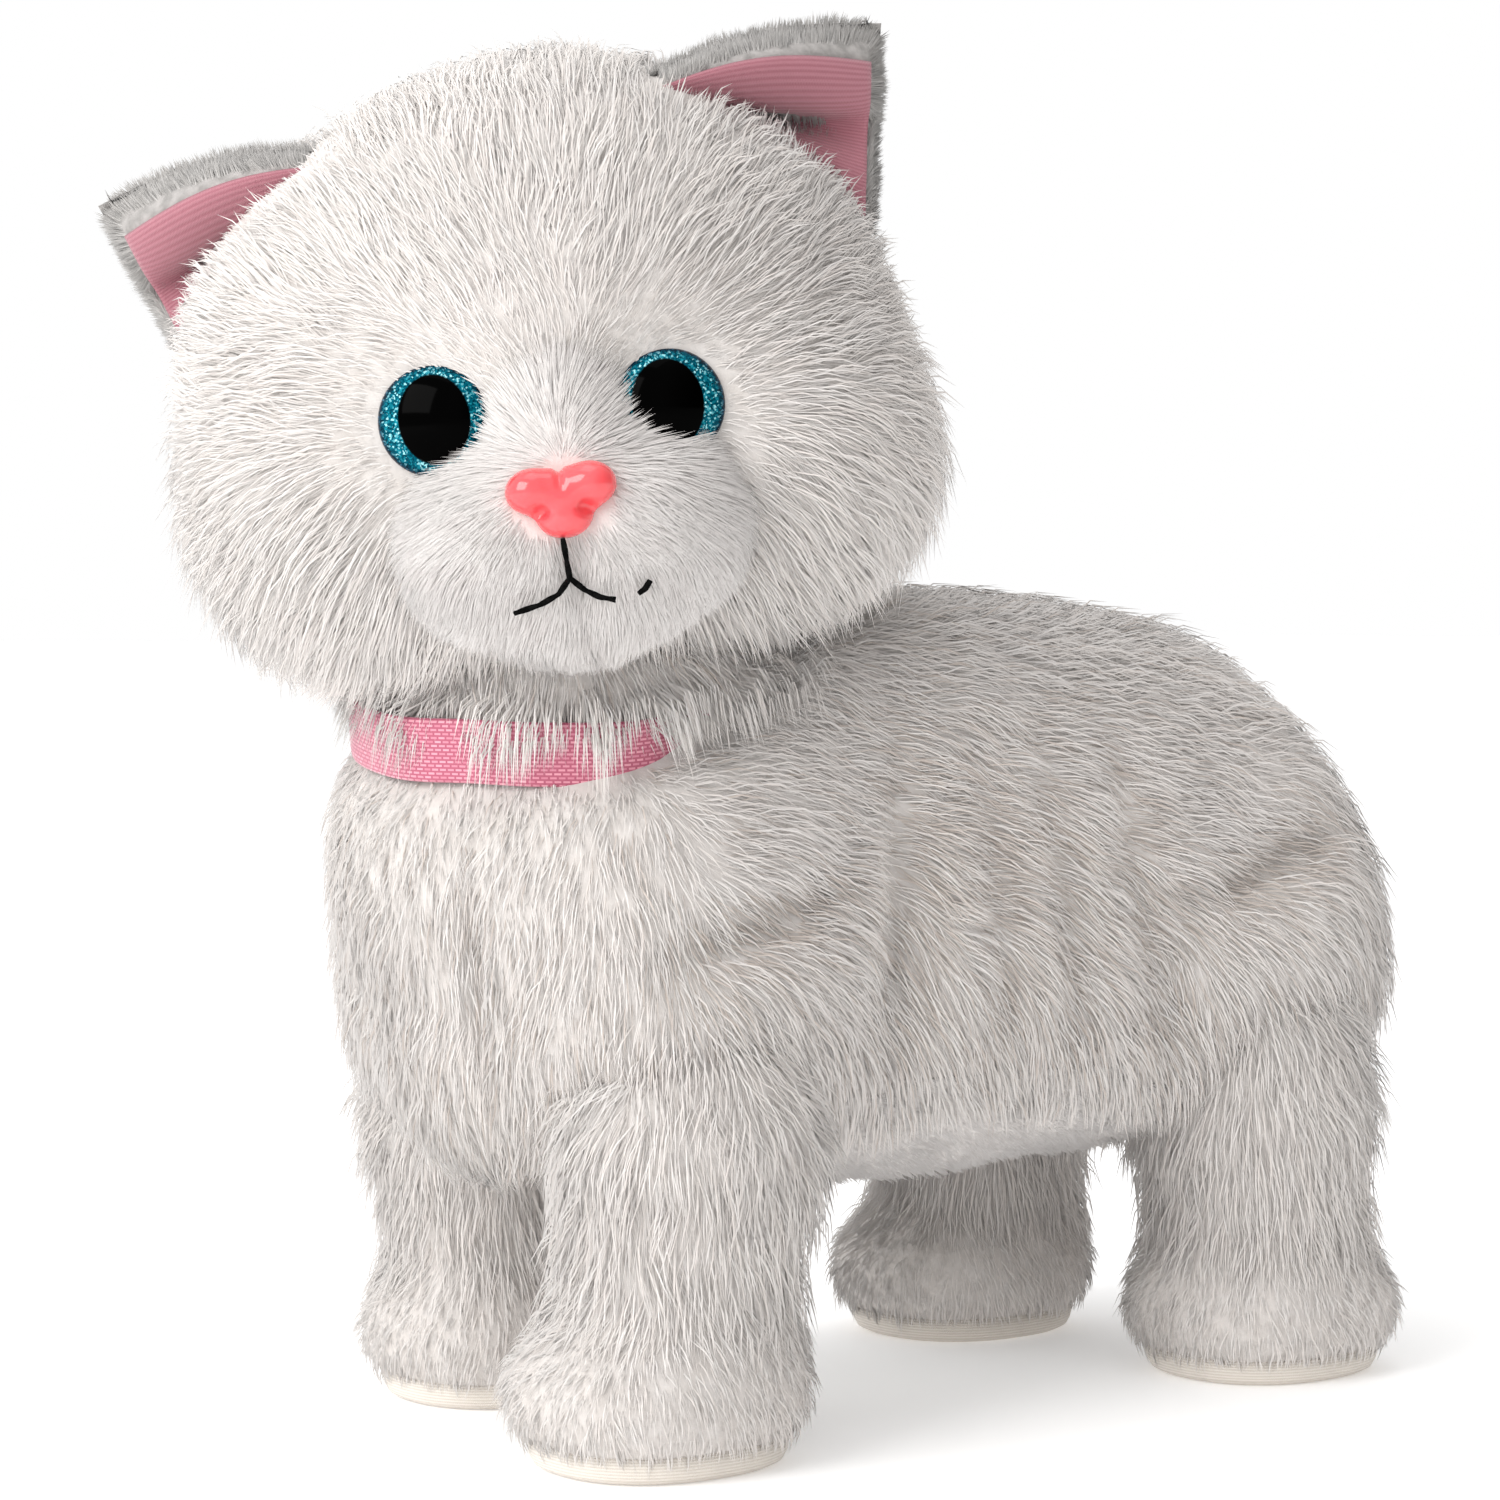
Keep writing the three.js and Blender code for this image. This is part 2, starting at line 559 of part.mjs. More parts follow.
// Ear: a rounded triangle standing off the head, grey fabric behind and pink lining in front.
function earPlate(side, back, front, inset) {
  const shape = new THREE.Shape();
  shape.moveTo(side * (25 + inset), 41 - inset);
  shape.quadraticCurveTo(side * 42, 49 - inset, side * (62 - inset), 44 - inset);
  shape.quadraticCurveTo(side * (65 - inset), 43 - inset, side * (64 - inset), 39);
  shape.lineTo(side * (54 - inset), 13 + inset);
  shape.lineTo(side * (25 + inset), 30);
  shape.closePath();
  const geometry = new THREE.ExtrudeGeometry(shape, { depth: front - back, bevelEnabled: false, curveSegments: 6 });
  geometry.rotateX(Math.PI / 2).translate(0, -back, 0);
  return inHead(geometry).subtract(headBall(-GAP));
}

// The neck post turns in the socket and carries the head.
function neckPost() {
  const flangeLow = SHELL.top + 9;
  return join(
    bar('z', NECK.post, SHELL.top + 1, HEAD.height + 12, [0, NECK.y]),
    bar('z', NECK.post + 5, flangeLow, flangeLow + 2, [0, NECK.y], 24),
  );
}

function neckSocket() {
  const low = SHELL.top + GAP;
  const tube = bar('z', NECK.socket, low, SHELL.top + 8.5, [0, NECK.y], 24);
  return tube.subtract(bar('z', NECK.post + RUN, low - 1, SHELL.top + 9.5, [0, NECK.y], 24));
}

// ---------------------------------------------------------------- tail

// The tail's middle line: out of the rump, over, and down with a slight curl outwards at the tip.
const tailLine = () => new THREE.CubicBezierCurve3(
  new THREE.Vector3(0, TAIL.y, TAIL.top),
  new THREE.Vector3(0, TAIL.y + TAIL.sway * 1.4, TAIL.top - 2),
  new THREE.Vector3(0, TAIL.y + TAIL.sway, TAIL.top - TAIL.drop * 0.6),
  new THREE.Vector3(0, TAIL.y + TAIL.sway * 1.3, TAIL.top - TAIL.drop),
);

// A round tube along the first share of the tail's line.
function tailTube(radius, share) {
  const points = tailLine().getPoints(20).slice(0, Math.round(20 * share) + 1);
  const extrudePath = new THREE.CatmullRomCurve3(points);
  const ring = new THREE.Shape();
  ring.absarc(0, 0, radius, 0, Math.PI * 2, false);
  return solidOf(new THREE.ExtrudeGeometry(ring, { steps: 7, extrudePath, curveSegments: 5 }));
}

const tailTip = () => solidOf(
  ellipsoid(TAIL.r, TAIL.r, TAIL.r, 12, 8).translate(0, TAIL.y + TAIL.sway * 1.3, TAIL.top - TAIL.drop),
);
const tailPlush = () => cut(
  join(tailTube(TAIL.r, 1), tailTip()),
  tailTube(TAIL.core + RUN, 0.85),
  tailStub(1),
  bodyBall(-1),
);

const tailStub = (grow) => bar('y', 2.2 + grow, SHELL.rear + 1, TAIL.y + 3 + grow, [0, TAIL.top - 4], 12);
const tailCore = () => join(tailTube(TAIL.core, 0.8), tailStub(0));

// ---------------------------------------------------------------- assembly

add('torso_skin', bodySkin(), WHITE_PLUSH);
add('belly_panel', bellyPanel(), SHORT_PLUSH);
add('collar_band', collarBand(), PINK_WEBBING);
add('body_shell_left', shellHalf(1), SHELL_PLASTIC);
add('body_shell_right', shellHalf(-1), SHELL_PLASTIC);
SCREW_SPOTS.forEach((spot, i) => add(`shell_screw_${i + 1}`, shellScrew(spot), STEEL));
add('battery_box', batteryBox(), BLACK_PLASTIC);
[0, 1, 2].forEach((index) => add(`battery_cell_${index + 1}`, cell(index), STEEL));
add('battery_door', batteryDoor(), SHELL_PLASTIC);
add('door_screw', doorScrew(), STEEL);
add('switch_housing', switchHousing(), BLACK_PLASTIC);
add('switch_slider', switchSlider(), BLACK_PLASTIC);
add('motor', motorCan(), STEEL);
add('motor_pinion', motorPinion(), GEAR_PLASTIC);
add('step_gear', stepGear(), GEAR_PLASTIC);
add('crank_gear', gear(TEETH.crank, 2, 6, [0, HIP_Z], CRANK.shaft + GAP), GEAR_PLASTIC);
add('crankshaft', bar('x', CRANK.shaft, -CRANK.outer, CRANK.outer, [0, HIP_Z]), STEEL);
add('crank_disc_left', crankDisc(1), GEAR_PLASTIC);
add('crank_disc_right', crankDisc(-1), GEAR_PLASTIC);
add('gearbox_plate', gearboxPlate(), BLACK_PLASTIC);
add('circuit_board', circuitBoard(), BOARD_GREEN);
add('speaker', speaker(), BLACK_PLASTIC);
add('front_axle', axle(-1), STEEL);
add('rear_axle', axle(1), STEEL);
for (const leg of LEGS) {
  add(`${leg.name}_leg_core`, legCore(leg), GEAR_PLASTIC);
  add(`${leg.name}_leg_plush`, legPlush(leg), WHITE_PLUSH);
  add(`${leg.name}_sole`, legSole(leg), SOLE_KNIT);
}
add('neck_socket', neckSocket(), SHELL_PLASTIC);
add('neck_post', neckPost(), SHELL_PLASTIC);
add('head_plush', headPlush(), WHITE_PLUSH);
add('head_fill', headFill(), FIBRE_FILL);
add('muzzle_plush', muzzlePlush(), SHORT_PLUSH);
add('nose', nose(), NOSE_PLASTIC);
add('nose_washer', noseWasher(), BLACK_PLASTIC);
[['left', 1], ['right', -1]].forEach(([word, side]) => {
  add(`eye_${word}`, eye(side), EYE_PLASTIC);
  add(`eye_washer_${word}`, eyeWasher(side), BLACK_PLASTIC);
  add(`ear_back_${word}`, earPlate(side, -5, 0, 0), GREY_PLUSH);
  add(`ear_lining_${word}`, earPlate(side, GAP, 1.8, 1.5), PINK_KNIT);
});
add('tail_core', tailCore(), GEAR_PLASTIC);
add('tail_plush', tailPlush(), WHITE_PLUSH);

const bounds = new THREE.Box3().setFromObject(toy);
const middle = bounds.getCenter(new THREE.Vector3());
toy.position.set(-middle.x, -middle.y, -bounds.min.z);

export default toy;
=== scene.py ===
"""Walking plush kitten: fabric, long pile, plastic eyes and nose, made round its fixed frame.

Metres, +Z up. The kitten faces -Y and its own left side is +X. Every soft surface is worked out as a
field (a signed distance that is negative inside) met by rays that leave a spine inside the piece.
"""
import json

import bpy
import numpy as np
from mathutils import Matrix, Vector


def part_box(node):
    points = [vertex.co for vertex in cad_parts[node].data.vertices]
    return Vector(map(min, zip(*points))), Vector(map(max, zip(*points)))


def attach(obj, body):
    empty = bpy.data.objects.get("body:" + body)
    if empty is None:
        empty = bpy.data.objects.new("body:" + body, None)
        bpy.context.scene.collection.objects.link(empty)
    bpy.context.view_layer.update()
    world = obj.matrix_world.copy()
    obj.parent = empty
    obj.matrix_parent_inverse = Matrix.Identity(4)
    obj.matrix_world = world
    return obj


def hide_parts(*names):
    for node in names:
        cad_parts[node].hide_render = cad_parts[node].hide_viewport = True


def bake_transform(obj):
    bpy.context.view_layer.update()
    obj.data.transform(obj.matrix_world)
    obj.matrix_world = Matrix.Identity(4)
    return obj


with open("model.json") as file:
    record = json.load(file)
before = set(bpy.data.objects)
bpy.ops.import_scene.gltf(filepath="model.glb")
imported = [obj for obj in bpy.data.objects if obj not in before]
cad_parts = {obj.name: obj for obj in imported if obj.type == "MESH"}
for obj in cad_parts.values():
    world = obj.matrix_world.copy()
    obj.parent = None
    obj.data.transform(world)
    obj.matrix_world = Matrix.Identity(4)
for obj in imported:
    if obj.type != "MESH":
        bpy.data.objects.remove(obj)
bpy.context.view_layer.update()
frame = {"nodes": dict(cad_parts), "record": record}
MM = 0.001

# ---------------------------------------------------------------- places read from the frame


def node_box(name):
    """Lowest corner, highest corner and middle of a CAD node, as arrays."""
    low, high = (np.array(corner, float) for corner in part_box(name))
    return low, high, (low + high) / 2


def unit(vectors):
    """Vectors scaled to length one."""
    size = np.linalg.norm(vectors, axis=-1, keepdims=True)
    return vectors / np.maximum(size, 1e-12)


JOINTS = {joint["name"]: joint for joint in frame["record"]["behaviour"]["joints"]}
LEGS = ("front_left", "front_right", "rear_left", "rear_right")
HIPS = {leg: np.array(JOINTS[leg + "_leg_swing"]["pos_m"]) for leg in LEGS}
FEET = {leg: node_box(leg + "_sole")[2] for leg in LEGS}
SIDES = {leg: 1.0 if leg.endswith("left") else -1.0 for leg in LEGS}

TORSO_LOW, TORSO_HIGH, TORSO_MID = node_box("torso_skin")
BELLY_LOW = node_box("belly_panel")[0][2]
TORSO_MID[2] = (TORSO_HIGH[2] + BELLY_LOW) / 2
TORSO_HALF = (TORSO_HIGH - TORSO_LOW) / 2
TORSO_HALF[2] = (TORSO_HIGH[2] - BELLY_LOW) / 2
TORSO_HALF += (0.5 * MM, -2.5 * MM, 1.5 * MM)
TORSO_MID[2] += 1.5 * MM
MIDDLE_X = HIPS["front_left"][0]
NECK = np.array(JOINTS["head_turn"]["pos_m"])

EYE_MID = {side: node_box("eye_" + side)[2] for side in ("left", "right")}
NOSE_MID = node_box("nose")[2]
LEFTWARD = unit(EYE_MID["left"] - EYE_MID["right"])
FORWARD = unit(np.cross(LEFTWARD, [0, 0, 1]))
UPWARD = np.cross(FORWARD, LEFTWARD)
UPWARD = UPWARD * np.sign(UPWARD[2])
HEAD_MID = NECK * (1, 1, 0) + FORWARD * 4 * MM
HEAD_MID[2] = (EYE_MID["left"][2] + EYE_MID["right"][2]) / 2 + 6 * MM * UPWARD[2]
HEAD_AXES = np.stack([LEFTWARD, FORWARD, UPWARD])
HEAD_HALF = np.array([55.5, 45, 47.5]) * MM


def head_place(points):
    """Head coordinates (side, forward, up) carried to the frame."""
    return HEAD_MID + np.asarray(points) @ HEAD_AXES


def head_coordinates(points):
    """Frame coordinates carried to the head's (side, forward, up)."""
    return (points - HEAD_MID) @ HEAD_AXES.T


# ---------------------------------------------------------------- mesh tools


def new_piece(name, points, faces, materials, slots=None, uvs=None, normals=None):
    """A mesh object from an (n, 3) array and a list of (m, k) face arrays, placed by its vertices."""
    mesh = bpy.data.meshes.new(name)
    points = np.ascontiguousarray(points, np.float32)
    totals = np.concatenate([np.full(len(block), block.shape[1], np.int32) for block in faces])
    corners = np.concatenate([block.ravel() for block in faces]).astype(np.int32)
    starts = np.concatenate([[0], np.cumsum(totals)[:-1]]).astype(np.int32)
    mesh.vertices.add(len(points))
    mesh.vertices.foreach_set("co", points.ravel())
    mesh.loops.add(len(corners))
    mesh.loops.foreach_set("vertex_index", corners)
    mesh.polygons.add(len(totals))
    mesh.polygons.foreach_set("loop_start", starts)
    mesh.polygons.foreach_set("loop_total", totals)
    mesh.polygons.foreach_set("use_smooth", np.full(len(totals), True))
    for material in materials:
        mesh.materials.append(material)
    if slots is not None:
        mesh.polygons.foreach_set("material_index", slots.astype(np.int32))
    if uvs is not None:
        layer = mesh.uv_layers.new(name="UVMap")
        layer.data.foreach_set("uv", np.ascontiguousarray(uvs[corners], np.float32).ravel())
    mesh.update(calc_edges=True)
    mesh.validate()
    if normals is not None:
        turned = mesh.attributes.new("custom_normal", "FLOAT_VECTOR", "POINT")
        turned.data.foreach_set("vector", np.ascontiguousarray(normals, np.float32).ravel())
    piece = bpy.data.objects.new(name, mesh)
    bpy.context.scene.collection.objects.link(piece)
    return piece


def grid_faces(rows, columns, wrap):
    """Quads of a grid numbered row * columns + column; wrap joins the last column to the first."""
    across = columns if wrap else columns - 1
    row, column = np.meshgrid(np.arange(rows - 1), np.arange(across), indexing="ij")
    beside = (column + 1) % columns
    corners = [row * columns + column, row * columns + beside]
    corners += [(row + 1) * columns + beside, (row + 1) * columns + column]
    return np.stack([corner.ravel() for corner in corners], -1)


def capped_grid(grid):
    """A (rows, columns, 3) grid, round across its columns, closed by a pole point at each end."""
    rows, columns = grid.shape[:2]
    points = np.concatenate([grid.reshape(-1, 3), grid[0].mean(0)[None], grid[-1].mean(0)[None]])
    first, last = rows * columns, rows * columns + 1
    column = np.arange(columns)
    beside = (column + 1) % columns
    top = np.stack([np.full(columns, first), beside, column], -1)
    base = (rows - 1) * columns
    bottom = np.stack([np.full(columns, last), base + column, base + beside], -1)
    return points, [grid_faces(rows, columns, True), np.concatenate([top, bottom])]


def closed_grid(grid):
    """A capped grid with its faces turned outwards."""
    points, faces = capped_grid(grid)
    return points, outward(points, faces)


def tube(line, radius, across, over, turns):
    """Closed tube round a line: each ring is radius * (cos(turn) * across + sin(turn) * over)."""
    turn = np.linspace(0, 2 * np.pi, turns, endpoint=False)[None, :, None]
    circle = np.cos(turn) * across[:, None] + np.sin(turn) * over[:, None]
    return closed_grid(line[:, None] + radius[:, None, None] * circle)


def outward(points, faces):
    """Faces turned so that the closed surface holds a positive volume."""
    volume = 0.0
    for block in faces:
        for k in range(1, block.shape[1] - 1):
            a, b, c = points[block[:, 0]], points[block[:, k]], points[block[:, k + 1]]
            volume += np.einsum("ij,ij->i", a, np.cross(b, c)).sum()
    return faces if volume > 0 else [block[:, ::-1] for block in faces]


def compact(points, faces):
    """Only the points that the faces use, with the faces renumbered to them."""
    used = np.unique(np.concatenate([block.ravel() for block in faces]))
    place = np.full(len(points), -1)
    place[used] = np.arange(len(used))
    return points[used], [place[block] for block in faces]


def triangles_of(faces):
    """Every face split into triangles."""
    split = []
    for block in faces:
        for k in range(1, block.shape[1] - 1):
            split.append(block[:, [0, k, k + 1]])
    return np.concatenate(split)


def vertex_normals(points, triangles):
    """Area-weighted mean of the triangle normals round each vertex."""
    a, b, c = (points[triangles[:, k]] for k in range(3))
    face = np.cross(b - a, c - a)
    normals = np.zeros_like(points)
    for k in range(3):
        np.add.at(normals, triangles[:, k], face)
    return unit(normals)


def step(value, low, high):
    """Smooth rise from 0 at low to 1 at high: 3 t^2 - 2 t^3."""
    t = np.clip((value - low) / (high - low), 0, 1)
    return t * t * (3 - 2 * t)


def bump(distance, width):
    """Bell curve exp(-(distance / width)^2)."""
    return np.exp(-((distance / width) ** 2))


def ripple(points, size, seed):
    """Soft noise between about -1 and 1: six sine waves in seeded directions, about size metres long."""
    rng = np.random.default_rng(seed)
    waves = unit(rng.normal(size=(6, 3))) * (2 * np.pi / size) * rng.uniform(0.6, 1.5, (6, 1))
    phases = rng.uniform(0, 2 * np.pi, 6)
    return np.sin(points @ waves.T + phases).sum(-1) / 3


# ---------------------------------------------------------------- fields and star surfaces


def merge_soft(a, b, width):
    """Smooth smaller-of-two: the two fields melt together over the given width."""
    share = np.clip(0.5 + 0.5 * (b - a) / width, 0, 1)
    return b * (1 - share) + a * share - width * share * (1 - share)


def ball(points, middle, half, power=2.0):
    """Field of a ball with half sizes `half`; powers above 2 square it off."""
    scaled = np.abs((points - middle) / half)
    return ((scaled**power).sum(-1) ** (1 / power) - 1) * np.min(half)


def capsule(points, start, end, r_start, r_end):
    """Field of a round bar from start to end whose radius runs evenly from r_start to r_end."""
    along = end - start
    share = np.clip(((points - start) @ along) / along.dot(along), 0, 1)
    nearest = start + share[..., None] * along
    return np.linalg.norm(points - nearest, axis=-1) - (r_start + (r_end - r_start) * share)


def star_surface(field, start, end, rows, columns, reach, samples=56):
    """Surface of a field, met from outside by rays that leave a straight spine from start to end.

    Row angle a runs from 0 to pi: the ray leaves start + (end - start) * (1 - cos a) / 2 and points
    along -cos a of the spine and sin a of the circle round it, turned by the column angle.
    """
    along = unit(end - start)
    side = unit(np.cross(along, [0.3, 0.2, 1.0] if abs(along[2]) < 0.9 else [1.0, 0, 0]))
    other = np.cross(along, side)
    a = np.linspace(0.02, np.pi - 0.02, rows)[:, None]
    b = np.linspace(0, 2 * np.pi, columns, endpoint=False)[None, :]
    spine = start + (end - start) * ((1 - np.cos(a)) / 2)[..., None]
    circle = np.cos(b)[..., None] * side + np.sin(b)[..., None] * other
    ways = -np.cos(a)[..., None] * along + np.sin(a)[..., None] * circle
    distances = np.linspace(0, reach, samples)
    values = np.stack([field(spine + ways * t) for t in distances], 0)
    inside = values < 0
    last = samples - 1 - np.argmax(inside[::-1], axis=0)
    last = np.clip(last, 0, samples - 2)
    here = np.take_along_axis(values, last[None], 0)[0]
    beyond = np.take_along_axis(values, last[None] + 1, 0)[0]
    share = np.clip(here / np.minimum(here - beyond, -1e-9), 0, 1)
    t = distances[last] + share * (distances[1] - distances[0])
    return spine + ways * t[..., None]


# ---------------------------------------------------------------- the kitten's own fields

SHOULDER_HALF = np.array([14.5, 24, 32]) * MM
THIGH_HALF = np.array([16, 27, 34]) * MM
NECK_R = 30 * MM


def body_field(points):
    """Plump torso, neck, two shoulders and two thighs melted together, with sewn folds pressed in."""
    field = ball(points, TORSO_MID, TORSO_HALF, 2.9)
    neck = capsule(points, NECK - (0, 0, 30 * MM), NECK - (0, 0, 3 * MM), NECK_R, NECK_R - 2 * MM)
    field = merge_soft(field, neck, 12 * MM)
    for leg in LEGS:
        front = leg.startswith("front")
        half = SHOULDER_HALF if front else THIGH_HALF
        middle = HIPS[leg] + (SIDES[leg] * 31 * MM, (1 if front else 2) * MM, -6 * MM)
        field = merge_soft(field, ball(points, middle, half), 9 * MM)
    bib = np.array([MIDDLE_X + 2 * MM, TORSO_LOW[1] + 16 * MM, BELLY_LOW + 26 * MM])
    field = merge_soft(field, ball(points, bib, np.array([21, 13, 19]) * MM), 6 * MM)
    return field + 3.5 * MM * bump(np.hypot(*collar_gaps(points)), 7 * MM)


COLLAR_R = 31.5 * MM
COLLAR_WIDTH = 10 * MM
COLLAR_TILT, COLLAR_TOWARD = np.radians(12), np.radians(45)
COLLAR_MID = node_box("collar_band")[2] + (0, 0, 3 * MM)
COLLAR_LEVEL = np.array([np.cos(COLLAR_TOWARD), np.sin(COLLAR_TOWARD), 0])
COLLAR_BACK = np.array([-np.sin(COLLAR_TOWARD), np.cos(COLLAR_TOWARD), 0])
COLLAR_AXES = np.stack([
    COLLAR_LEVEL,
    COLLAR_BACK * np.cos(COLLAR_TILT) + (0, 0, np.sin(COLLAR_TILT)),
    (0, 0, np.cos(COLLAR_TILT)) - COLLAR_BACK * np.sin(COLLAR_TILT),
])


def collar_coordinates(points):
    """Frame coordinates carried to the collar's own tilted ring: two across it and one along its axis."""
    return (points - COLLAR_MID) @ COLLAR_AXES.T


def collar_gaps(points):
    """How far a point lies out from the collar's ring, and how far along its axis."""
    band = collar_coordinates(points)
    return np.hypot(band[..., 0], band[..., 1]) - COLLAR_R, band[..., 2]


def head_field(points):
    """Wide ball with full cheeks, a small crown and a dent for each eye."""
    p = head_coordinates(points)
    field = ball(p, np.array([-2.0, 0, 0]) * MM, HEAD_HALF, 2.15)
    for side in (-1, 1):
        cheek = np.array([side * 28, 8, -15]) * MM
        field = merge_soft(field, ball(p, cheek, np.array([26.5, 28, 23]) * MM), 10 * MM)
    field = merge_soft(field, ball(p, np.array([3, -2, 34]) * MM, np.array([24, 24, 14.5]) * MM), 10 * MM)
    for side in ("left", "right"):
        away = np.linalg.norm(points - EYE_MID[side], axis=-1)
        field = field + 3 * MM * bump(away, 11 * MM)
    return field


def muzzle_field(points):
    """Two soft lobes and a chin in front, and a bridge that runs up between the eyes."""
    p = head_coordinates(points)
    field = ball(p, np.array([0, 36, -22]) * MM, np.array([24, 13.5, 18]) * MM)
    for side in (-1, 1):
        lobe = ball(p, np.array([side * 10, 42, -25]) * MM, np.array([12.5, 9.5, 11]) * MM)
        field = merge_soft(field, lobe, 5 * MM)
    field = merge_soft(field, ball(p, np.array([0, 42, -34]) * MM, np.array([9, 8, 7]) * MM), 6 * MM)
    field = merge_soft(field, ball(p, np.array([0, 40, -9]) * MM, np.array([9.5, 8, 13]) * MM), 6 * MM)
    below_nose = step(p[..., 1], 40 * MM, 46 * MM) * step(-p[..., 2], 22 * MM, 26 * MM)
    groove = bump(p[..., 0], 2.2 * MM) * below_nose
    return field + 1.3 * MM * groove


def leg_field(leg):
    """A soft creased sleeve that leans from hip to foot, and a rounded paw with a flat base."""
    foot = FEET[leg] * (1, 1, 0)
    hip = np.array([foot[0], HIPS[leg][1], HIPS[leg][2]])
    ankle = foot + (hip - foot) * 0.30
    knee = foot + (hip - foot) * 0.62
    top = hip - (SIDES[leg] * 7 * MM, 0, 2 * MM)
    paw = foot + (0, -1.2 * MM, 11.5 * MM)
    half = np.array([20.0, 22.5, 11.5]) * MM

    def field(points):
        """The sleeve in two bars, its creases, and the paw, cut level just over the sole's base."""
        shape = capsule(points, ankle, knee, 17.2 * MM, 18.2 * MM)
        shape = merge_soft(shape, capsule(points, knee, top, 18.2 * MM, 14 * MM), 6 * MM)
        folds = np.sin(points[..., 2] / (3.6 * MM) + 2.2 * ripple(points, 50 * MM, 7))
        high = step(points[..., 2], 28 * MM, 48 * MM)
        shape = shape + 0.5 * MM * folds * high
        shape = merge_soft(shape, ball(points, paw, half, 2.4), 6 * MM)
        return np.maximum(shape, 3.0 * MM - points[..., 2])

    return field, foot + (0, 0, 9 * MM), top


# ---------------------------------------------------------------- materials


def blank_material(name, color, roughness, **sockets):
    """A Principled material with its constant sockets set, and the parts that patterns link to."""
    material = bpy.data.materials.new(name)
    material.use_nodes = True
    nodes, links = material.node_tree.nodes, material.node_tree.links
    shader = nodes["Principled BSDF"]
    shader.inputs["Base Color"].default_value = (*color, 1)
    shader.inputs["Roughness"].default_value = roughness
    for socket, value in sockets.items():
        shader.inputs[socket.replace("_", " ")].default_value = value
    return material, nodes, links, shader


def coordinates(nodes, links, kind, scale):
    """Object or UV coordinates through a Mapping node of the given scale."""
    source = nodes.new("ShaderNodeTexCoord")
    mapping = nodes.new("ShaderNodeMapping")
    mapping.inputs["Scale"].default_value = scale if np.ndim(scale) else (scale, scale, scale)
    links.new(source.outputs[kind], mapping.inputs["Vector"])
    return mapping.outputs["Vector"]


def noise(nodes, links, vector, scale, detail=3.0):
    """A noise texture's factor output."""
    texture = nodes.new("ShaderNodeTexNoise")
    texture.inputs["Scale"].default_value = scale
    texture.inputs["Detail"].default_value = detail
    links.new(vector, texture.inputs["Vector"])
    return texture.outputs["Fac"]


def ramp(nodes, links, factor, stops):
    """A colour ramp with (position, colour) stops."""
    node = nodes.new("ShaderNodeValToRGB")
    elements = node.color_ramp.elements
    while len(elements) < len(stops):
        elements.new(0.5)
    for element, (position, color) in zip(elements, stops):
        element.position = position
        element.color = (*color, 1)
    links.new(factor, node.inputs["Fac"])
    return node.outputs["Color"]


def add_bump(nodes, links, shader, height, strength, distance):
    """Bump from a height value into the shader's normal."""
    node = nodes.new("ShaderNodeBump")
    node.inputs["Strength"].default_value = strength
    node.inputs["Distance"].default_value = distance
    links.new(height, node.inputs["Height"])
    links.new(node.outputs["Normal"], shader.inputs["Normal"])


def maths(nodes, links, operation, first, second):
    """A Math node; each input is a socket or a number."""
    node = nodes.new("ShaderNodeMath")
    node.operation = operation
    for socket, value in zip(node.inputs, (first, second)):
        if isinstance(value, (int, float)):
            socket.default_value = value
        else:
            links.new(value, socket)
    return node.outputs["Value"]


def mottled(name, dark, light, roughness, size, strength=0.2, **sockets):
    """Two close colours in soft blotches with a fine matching bump."""
    material, nodes, links, shader = blank_material(name, light, roughness, **sockets)
    vector = coordinates(nodes, links, "Object", 1.0)
    blotch = noise(nodes, links, vector, 1 / size)
    links.new(ramp(nodes, links, blotch, [(0.35, dark), (0.65, light)]), shader.inputs["Base Color"])
    add_bump(nodes, links, shader, noise(nodes, links, vector, 4 / size), strength, 0.0002)
    return material


def pile_materials(name, tints, roughness=0.75):
    """One plain finish for each tint of strand; the locks themselves carry the detail."""
    made = []
    for number, tint in enumerate(tints):
        material = blank_material(f"{name}_{number}", tint, roughness, Sheen_Weight=0.25)[0]
        made.append(material)
    return made


def knit(name, dark, light, wales, courses, roughness=0.85):
    """Knitted cloth on the piece's UV map: rows of small loops, darker between the stitches."""
    material, nodes, links, shader = blank_material(name, light, roughness, Sheen_Weight=0.3)
    vector = coordinates(nodes, links, "UV", (wales, courses, 1))
    split = nodes.new("ShaderNodeSeparateXYZ")
    links.new(vector, split.inputs["Vector"])
    tau = 2 * np.pi
    across = maths(nodes, links, "SINE", maths(nodes, links, "MULTIPLY", split.outputs["X"], tau), 0)
    skew = maths(nodes, links, "MULTIPLY", maths(nodes, links, "ABSOLUTE", across, 0), 0.35)
    along = maths(nodes, links, "ADD", split.outputs["Y"], skew)
    down = maths(nodes, links, "SINE", maths(nodes, links, "MULTIPLY", along, tau), 0)
    height = maths(nodes, links, "MULTIPLY", maths(nodes, links, "ABSOLUTE", across, 0), down)
    height = maths(nodes, links, "ADD", height, 0.5)
    links.new(ramp(nodes, links, height, [(0.1, dark), (0.75, light)]), shader.inputs["Base Color"])
    add_bump(nodes, links, shader, height, 0.35, 0.0003)
    return material


